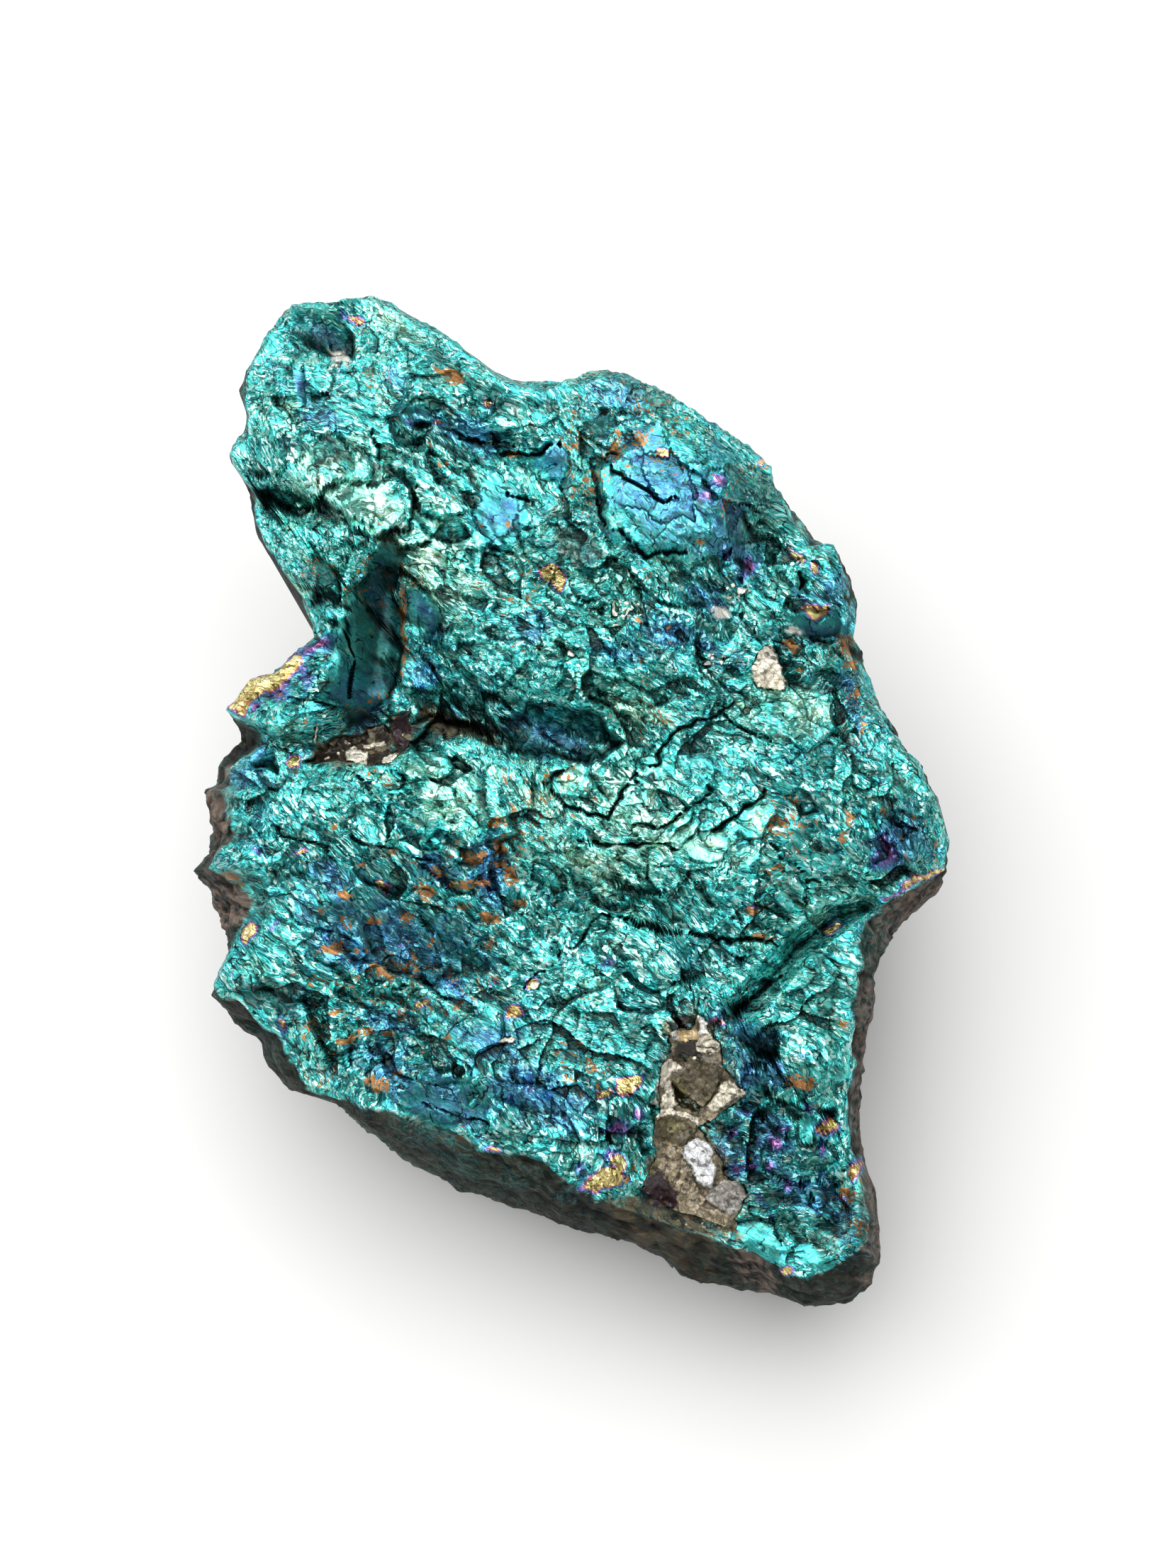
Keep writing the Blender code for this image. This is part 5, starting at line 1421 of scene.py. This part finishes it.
def grain_grid(rows, columns):
    """Directions all round a grain, and the cells between them: rows from pole to pole by turns around,
    with one point at each pole."""
    rise = np.linspace(-np.pi / 2.0, np.pi / 2.0, rows + 1)[1:-1]
    turn = np.linspace(0.0, FULL_TURN, columns, endpoint=False)
    a, t = (grid.ravel() for grid in np.meshgrid(rise, turn, indexing="ij"))
    ways = np.stack((np.cos(a) * np.cos(t), np.cos(a) * np.sin(t), np.sin(a)), axis=1)
    ways = np.concatenate((ways, [(0.0, 0.0, -1.0), (0.0, 0.0, 1.0)]))
    start = np.arange(rows - 2)[:, None] * columns + np.arange(columns)[None, :]
    beside = np.roll(start, -1, axis=1)
    low = np.stack((start, beside, beside + columns), axis=-1).reshape(-1, 3)
    high = np.stack((start, beside + columns, start + columns), axis=-1).reshape(-1, 3)
    first = np.arange(columns)
    last = first + (rows - 2) * columns
    south = np.full(columns, len(ways) - 2)
    north = south + 1
    caps = [np.stack((south, np.roll(first, -1), first), axis=1),
            np.stack((north, last, np.roll(last, -1)), axis=1)]
    return ways, np.concatenate([low, high] + caps)


def broken_grain(ways, sizes, seed):
    """One broken grain: along each direction, the nearest of its cleavage planes, eased into each other
    by a power mean, then stretched to its three half sizes."""
    rng = np.random.default_rng(seed)
    normals = rng.normal(size=(GRAIN_BREAKS, 3))
    normals = np.concatenate((normals, np.eye(3), -np.eye(3)))
    normals /= np.linalg.norm(normals, axis=1)[:, None]
    depth = np.concatenate((rng.uniform(0.72, 1.0, GRAIN_BREAKS), rng.uniform(0.85, 1.05, 6)))
    facing = np.clip(ways @ normals.T, 0.0, None) / depth
    reach = (facing ** GRAIN_SHARPNESS).sum(axis=1) ** (-1.0 / GRAIN_SHARPNESS)
    return ways * reach[:, None] * np.array(sizes)


def grain_cluster(name, forms, shift):
    """Joins grains set into the face. Each form gives u, v, half length, half width, half height, its
    direction in degrees, how far its middle stands above the face, and its seed."""
    ways, faces = grain_grid(GRAIN_ROWS, GRAIN_COLUMNS)
    centres = np.array([form[:2] for form in forms])
    ground = surface_height(centres[:, 0], centres[:, 1])
    points = []
    for form, level in zip(forms, ground):
        u, v, length, width, height, direction, above, seed = form
        local = broken_grain(ways, (length, width, height), seed)
        tip = GRAIN_TIP * (np.random.default_rng(seed + 7).random(2) - 0.5)
        du, dv = turned(local[:, 0], local[:, 1], -direction)
        w = local[:, 2] + tip[0] * du + tip[1] * dv + level + above
        chipped = soft_noise(np.stack((u + du, v + dv, w), axis=1), GRAIN_CHIP_SIZE, seed)
        chipped = GRAIN_CHIP_DEPTH * min(length, width) * chipped
        points.append(to_world(u + du + chipped, v + dv + chipped, w + chipped) + shift)
    joined = np.concatenate([faces + k * len(ways) for k in range(len(forms))])
    return mesh_of(name, np.concatenate(points) * MM, joined)


def evened(grid, rounds):
    """A grid of numbers after some rounds of averaging each with its four neighbours."""
    for _ in range(rounds):
        padded = np.pad(grid, 1, mode="edge")
        beside = padded[:-2, 1:-1] + padded[2:, 1:-1] + padded[1:-1, :-2] + padded[1:-1, 2:]
        grid = (beside + 4.0 * grid) / 8.0
    return grid


def painted_chips(u, v, patch, hues):
    """Height above the face, tint, place along and across the stripes, and stripes, for places of a patch.
    The chips are painted in turn, each a tilted plane inside its corners with a short steep edge."""
    count = len(u)
    places = flat_places(u, v)
    u = hills(places, (u, *CHIP_WANDER_U))
    v = hills(places, (v, *CHIP_WANDER_V))
    height = np.full(count, -PATCH_SUNK)
    values = np.zeros((count, 7))
    for number, (tone, lift, fall, bearing, stripes, striped, corners) in enumerate(patch):
        deep = polygon_depth(u, v, corners)
        middle = np.mean(corners, axis=0)
        away = turned(u - middle[0], v - middle[1], bearing)[0]
        share = held(deep / PATCH_EDGE + 0.5)
        height = height * (1.0 - share) + (lift - np.tan(np.radians(fall)) * away) * share
        along, across = turned(u, v, stripes)
        level = np.full(count, 3.0 * number)
        own = np.column_stack((np.tile(getattr(hues, tone)[:3], (count, 1)), along, across, level,
                               np.full(count, striped)))
        values = np.where((deep > 0.0)[:, None], own, values)
    rough = sum(depth * flakes(places / size, 1.4, curve, seed, True)
                for depth, size, curve, seed in CHIP_ROUGH)
    return height + rough * (height > -0.5 * PATCH_SUNK), values


def quartz_patch(name, patch, shift, hues):
    """A closed slab over the chips' box. Its top carries the chips and lies hidden inside the stone around
    them, and its underside lies deeper still."""
    corners = np.concatenate([np.array(chip[-1]) for chip in patch])
    low, high = corners.min(axis=0) - PATCH_MARGIN, corners.max(axis=0) + PATCH_MARGIN
    columns, rows = np.ceil((high - low) / PATCH_STEP).astype(int) + 1
    u, v = (grid.ravel() for grid in np.meshgrid(np.linspace(low[0], high[0], columns),
                                                 np.linspace(low[1], high[1], rows)))
    height, values = painted_chips(u, v, patch, hues)
    ring = ring_at(u, v)[1]
    u, v = drawn_in(u, v, np.minimum(1.0, PATCH_LAST_RING / np.maximum(ring, PATCH_LAST_RING)))
    ground = evened(surface_height(u, v).reshape(rows, columns), PATCH_ROUNDS).ravel()
    top = to_world(u, v, ground + height)
    under = to_world(u, v, ground - PATCH_SUNK - PATCH_THICK)
    number = np.arange(rows * columns).reshape(rows, columns)
    quads = np.stack((number[:-1, :-1], number[:-1, 1:], number[1:, 1:], number[1:, :-1]), axis=-1)
    quads = quads.reshape(-1, 4)
    border = np.concatenate((number[0, :-1], number[:-1, -1], number[-1, :0:-1], number[:0:-1, 0]))
    onward = np.roll(border, -1)
    deeper = rows * columns
    sides = np.stack((border, border + deeper, onward + deeper, onward), axis=1)
    faces = np.concatenate((quads, quads[:, ::-1] + deeper, sides))
    mesh = mesh_of(name, (np.concatenate((top, under)) + shift) * MM, faces)
    hidden = np.concatenate((height < -0.7 * PATCH_SUNK, np.ones(deeper, bool)))
    doubled = np.concatenate((values, values))
    for key, column in (("along", 3), ("across", 4), ("level", 5), ("striped", 6)):
        place_values(mesh, key, doubled[:, column])
    place_tint(mesh, np.column_stack((doubled[:, :3], np.ones(2 * deeper))))
    return thinned(mesh, int(PATCH_KEPT * 2 * len(faces)), np.where(hidden, 3.0, 1.0))


def scattered(areas, count, sizes, seed):
    """Small grains scattered over turned ellipses of the face, as forms for a cluster."""
    rng = np.random.default_rng(seed)
    forms = []
    for _ in range(count):
        area = areas[rng.integers(len(areas))]
        spread = np.sqrt(rng.random())
        angle = rng.random() * FULL_TURN
        along = spread * np.cos(angle) * area[2]
        across = spread * np.sin(angle) * area[3]
        du, dv = turned(along, across, -area[4])
        size = sizes[0] + (sizes[1] - sizes[0]) * rng.random() ** 2
        forms.append((area[0] + du, area[1] + dv, size, size * rng.uniform(0.5, 0.9), size * GRAIN_FLATNESS,
                      rng.uniform(0, 180), GRAIN_LIFT, int(rng.integers(1, 10 ** 6))))
    return forms


def sight_place(away, shift):
    """A place in metres from its distances to the right, up and out from the middle of the face."""
    tilt = np.radians(FACE_TILT)
    place = np.array((away[0], away[1] * np.sin(tilt) - away[2] * np.cos(tilt),
                      away[1] * np.cos(tilt) + away[2] * np.sin(tilt)))
    return place + (np.array((0.0, 0.0, FACE_HEIGHT)) + shift) * MM


def softbox(name, size, power, place, shift):
    """A square lamp that looks at the middle of the face. Its place is its bearing around the line of
    sight, its angle off that line, and its distance."""
    turn, off = np.radians(place[:2])
    away = place[2] * np.array((np.sin(off) * np.cos(turn), np.sin(off) * np.sin(turn), np.cos(off)))
    lamp = bpy.data.lights.new(name, "AREA")
    lamp.shape = "SQUARE"
    lamp.size = size
    lamp.energy = power
    item = bpy.data.objects.new(name, lamp)
    item.location = sight_place(away, shift)
    aim = sight_place(np.zeros(3), shift) - sight_place(away, shift)
    item.rotation_euler = mathutils.Vector(aim).to_track_quat("-Z", "Y").to_euler()
    bpy.context.scene.collection.objects.link(item)


def add_camera(shift):
    """The camera stands square over the face, at the distance from which its outline was measured."""
    camera = bpy.data.cameras.new("camera")
    camera.sensor_width = SENSOR
    camera.sensor_fit = "AUTO"
    camera.lens = SENSOR * SIGHT_DISTANCE / (PICTURE_PIXELS[1] * PIXEL_SIZE)
    camera.clip_start = NEAREST_SEEN
    camera.clip_end = FARTHEST_SEEN
    item = bpy.data.objects.new("camera", camera)
    item.location = sight_place((0.0, 0.0, SIGHT_DISTANCE * MM), shift)
    item.rotation_euler = (np.pi / 2.0 - np.radians(FACE_TILT), 0.0, 0.0)
    bpy.context.scene.collection.objects.link(item)
    bpy.context.scene.camera = item


def finished(mesh, context):
    """Smooth shading with sharp edges where the surface bends more than the setting."""
    mesh.shade_smooth()
    mesh.set_sharp_from_angle(angle=context.scene.ore_stone.sharp_angle)
    return mesh


class OreStoneSettings(bpy.types.PropertyGroup):
    face_cells: IntProperty(
        name="Face cells", description="Cells across the face's grid", default=FACE_CELLS, min=40, max=400)
    most_triangles: IntProperty(
        name="Most triangles", description="Triangles that the stone may keep", default=194000, min=2000)
    sharp_angle: FloatProperty(
        name="Sharp angle", description="Edges bent more than this stay sharp", subtype="ANGLE",
        unit="ROTATION", default=float(np.radians(32.0)))
    shift: FloatVectorProperty(
        name="Shift", size=3, default=(0.0, 0.0, 0.0),
        description="Millimetres that the stone is moved to stand in its box, set as it is made")


def hue(name, what, colour):
    """A colour that a user can change."""
    return FloatVectorProperty(name=name, description=what, subtype="COLOR", size=4, min=0.0, max=4.0,
                               default=(*colour, 1.0))


class OreTarnishSettings(bpy.types.PropertyGroup):
    gold: hue("Gold", "Thinnest film", (1.0, 0.78, 0.30))
    amber: hue("Amber", "Thin film", (0.75, 0.26, 0.07))
    magenta: hue("Magenta", "Thin film", (0.55, 0.17, 0.42))
    violet: hue("Violet", "Film of the violet patches", (0.40, 0.26, 0.68))
    blue: hue("Blue", "Film of the deep blue patches", (0.07, 0.25, 0.50))
    azure: hue("Azure", "Film of the blue patches", (0.09, 0.37, 0.51))
    teal: hue("Teal", "Film of most of the face", (0.045, 0.45, 0.46))
    sea_green: hue("Sea green", "Thicker film", (0.085, 0.60, 0.53))
    mint: hue("Mint", "Thick film of the brightest plates", (0.34, 0.84, 0.63))
    pale_green: hue("Pale green", "Thickest film", (0.52, 0.92, 0.60))
    # Colour of the painted glints on single flakes
    glint: hue("Glint", "Palest flakes", (0.62, 0.96, 0.86))
    copper: hue("Copper", "Bare specks", (0.72, 0.36, 0.15))
    rust: hue("Rust", "Darker bare specks", (0.32, 0.16, 0.06))
    # The dull colours are kept very dark, partly as painted shade of the walls
    dull_dark: hue("Dull dark", "Dark stripes of the walls", (0.008, 0.008, 0.006))
    dull_light: hue("Dull light", "Pale stripes of the walls", (0.038, 0.035, 0.026))
    warm_dark: hue("Warm dark", "Dark stripes of the brown walls", (0.010, 0.007, 0.006))
    warm_light: hue("Warm light", "Pale stripes of the brown walls", (0.18, 0.125, 0.10))
    earth_dark: hue("Dark earth", "Dark bed of the vein", (0.03, 0.022, 0.016))
    earth_light: hue("Light earth", "Brown bed of the vein", (0.22, 0.15, 0.08))
    crust: hue("Crust", "Chalky white crust", (0.70, 0.68, 0.62))
    gloss_low: FloatProperty(name="Glossiest", description="Roughness of the smoothest flakes", default=0.2)
    gloss_high: FloatProperty(
        name="Least glossy", description="Roughness of the dullest flakes", default=0.42)
    coat: FloatProperty(name="Coat", description="Weight of the clear gloss on the film", default=0.15)
    edge: hue("Edge", "Tint of what the stone mirrors at a grazing angle", (0.2, 0.23, 0.23))
    metal: FloatProperty(name="Metal", description="How metallic the tarnished flakes are", default=0.85)


class OreQuartzSettings(bpy.types.PropertyGroup):
    milky: hue("Milky", "White chips", (0.92, 0.91, 0.86))
    cream: hue("Cream", "Cream chips", (0.92, 0.84, 0.66))
    pearl: hue("Pearl", "Bluish white chips", (0.86, 0.88, 0.88))
    chalk: hue("Chalk", "Pinkish white crust", (0.92, 0.85, 0.70))
    olive: hue("Olive", "Olive crystals", (0.12, 0.10, 0.05))
    moss: hue("Moss", "Yellow-green glassy parts", (0.19, 0.165, 0.06))
    shade: hue("Shade", "Dark glassy hollow", (0.018, 0.014, 0.004))
    umber: hue("Umber", "Brown-grey crystals", (0.18, 0.15, 0.09))
    bronze: hue("Bronze", "Brown chips", (0.37, 0.30, 0.19))
    tan: hue("Tan", "Golden brown chips", (0.62, 0.46, 0.22))
    grey: hue("Grey", "Grey chips", (0.38, 0.355, 0.32))
    plum: hue("Plum", "Dark purple-brown facets", (0.035, 0.014, 0.02))
    soil: hue("Soil", "Dark brown bed", (0.028, 0.018, 0.011))
    speck: hue("Speck", "Specks and stripes in the quartz", (0.02, 0.016, 0.012))


class OreStageSettings(bpy.types.PropertyGroup):
    floor_size: FloatProperty(
        name="Floor", description="Side of the floor", subtype="DISTANCE", unit="LENGTH", default=3.0)
    floor_colour: hue("Floor colour", "Plain pale floor", (0.86, 0.86, 0.85))
    key_power: FloatProperty(name="Key", description="Power of the main softbox", default=6.0, unit="POWER")
    key_size: FloatProperty(
        name="Key size", description="Side of the main softbox", subtype="DISTANCE", unit="LENGTH",
        default=0.8)
    fill_power: FloatProperty(
        name="Fill", description="Power of the fill softbox", default=0.06, unit="POWER")
    sky: FloatProperty(name="Sky", description="Strength of the even light all round", default=0.27)


class ORE_OT_make_stone(bpy.types.Operator):
    """Builds the lump: one closed surface with all its relief and the values that its colours follow"""
    bl_idname = "ore.make_stone"
    bl_label = "Make Stone"

    def execute(self, context):
        settings = context.scene.ore_stone
        angles, rings, quads = stone_grid(settings.face_cells)
        points = stone_points(angles, rings)
        low, high = (np.array(corner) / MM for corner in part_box(NODE))
        own_low = points.min(axis=0)
        own_high = points.max(axis=0)
        shift = (low + high - own_low - own_high) / 2.0
        shift[2] = low[2] - own_low[2]
        settings.shift = shift
        mesh = mesh_of("stone_grid", (points + shift) * MM, quads)
        place_values(mesh, "ring", rings)
        mesh = thinned(mesh, settings.most_triangles, rings)
        mesh.name = "ore_lump"
        colour_stone(mesh, np.array(settings.shift))
        piece = link_piece("ore_lump", finished(mesh, context), ore_material(context.scene.ore_tarnish))
        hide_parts(NODE)
        return {"FINISHED"}


class ORE_OT_make_vein(bpy.types.Operator):
    """Sets the patches of quartz chips into the face"""
    bl_idname = "ore.make_vein"
    bl_label = "Make Vein"

    def execute(self, context):
        hues = context.scene.ore_quartz
        shift = np.array(context.scene.ore_stone.shift)
        material = quartz_material("vein_quartz", hues)
        for name, patch in QUARTZ_PATCHES.items():
            mesh = finished(quartz_patch(name, patch, shift, hues), context)
            link_piece(name, mesh, material)
        return {"FINISHED"}


class ORE_OT_make_grains(bpy.types.Operator):
    """Scatters the smallest quartz grains over the vein and the crevices of the face"""
    bl_idname = "ore.make_grains"
    bl_label = "Make Grains"

    def execute(self, context):
        hues = context.scene.ore_quartz
        shift = np.array(context.scene.ore_stone.shift)
        kinds = [
            ("pale_grains", hues.chalk, scattered(GRAIN_AREAS, 40, (0.05, 0.15), 421)
             + scattered(VEIN_AREAS, 30, (0.05, 0.16), 422)),
            ("brown_grains", hues.bronze, scattered(VEIN_AREAS, 40, (0.06, 0.2), 423)),
        ]
        for name, tone, forms in kinds:
            mesh = grain_cluster(name, forms, shift)
            place_tint(mesh, np.tile(np.array(tone), len(mesh.vertices)))
            piece = link_piece(name, mesh, bpy.data.materials["vein_quartz"])
        return {"FINISHED"}


class ORE_OT_make_stage(bpy.types.Operator):
    """Adds the plain floor, the softboxes, the even light all round and the camera"""
    bl_idname = "ore.make_stage"
    bl_label = "Make Stage"

    def execute(self, context):
        settings = context.scene.ore_stage
        shift = np.array(context.scene.ore_stone.shift)
        half = settings.floor_size / 2.0
        corners = np.array([(-half, -half, 0.0), (half, -half, 0.0), (half, half, 0.0), (-half, half, 0.0)])
        mesh = mesh_of("floor", corners, np.array([[0, 1, 2, 3]]))
        material, tree, shader = new_material("pale_floor")
        plug(tree, shader, Base_Color=settings.floor_colour, Roughness=0.8)
        mesh.materials.append(material)
        floor = bpy.data.objects.new("floor", mesh)
        context.scene.collection.objects.link(floor)
        softbox("key", settings.key_size, settings.key_power, KEY_PLACE, shift)
        softbox("fill", FILL_SIZE, settings.fill_power, FILL_PLACE, shift)
        world = bpy.data.worlds.new("even_light")
        world.use_nodes = True
        background = world.node_tree.nodes["Background"]
        background.inputs["Color"].default_value = (1.0, 1.0, 1.0, 1.0)
        background.inputs["Strength"].default_value = settings.sky
        context.scene.world = world
        context.scene.view_settings.view_transform = "Standard"
        add_camera(shift)
        return {"FINISHED"}


class ORE_PT_panel(bpy.types.Panel):
    """Lists the pieces and the settings"""
    bl_label = "Peacock Ore"
    bl_idname = "ORE_PT_panel"
    bl_space_type = "VIEW_3D"
    bl_region_type = "UI"
    bl_category = "Peacock Ore"

    def draw(self, context):
        for operator in OPERATORS:
            self.layout.operator(operator.bl_idname)
        for name in SETTINGS:
            group = getattr(context.scene, name)
            box = self.layout.box()
            for key in group.__annotations__:
                box.prop(group, key)


OPERATORS = (ORE_OT_make_stone, ORE_OT_make_vein, ORE_OT_make_grains, ORE_OT_make_stage)
SETTINGS = {
    "ore_stone": OreStoneSettings, "ore_tarnish": OreTarnishSettings,
    "ore_quartz": OreQuartzSettings, "ore_stage": OreStageSettings,
}
CLASSES = tuple(SETTINGS.values()) + OPERATORS + (ORE_PT_panel,)


def register():
    """Adds the classes, and the settings to every scene."""
    for item in CLASSES:
        bpy.utils.register_class(item)
    for name, group in SETTINGS.items():
        setattr(bpy.types.Scene, name, PointerProperty(type=group))


def unregister():
    """Takes away what register adds."""
    for name in SETTINGS:
        delattr(bpy.types.Scene, name)
    for item in reversed(CLASSES):
        bpy.utils.unregister_class(item)


def main():
    """Makes every piece and the stage."""
    register()
    bpy.ops.ore.make_stone()
    bpy.ops.ore.make_vein()
    bpy.ops.ore.make_grains()
    bpy.ops.ore.make_stage()


if __name__ == "__main__":
    main()
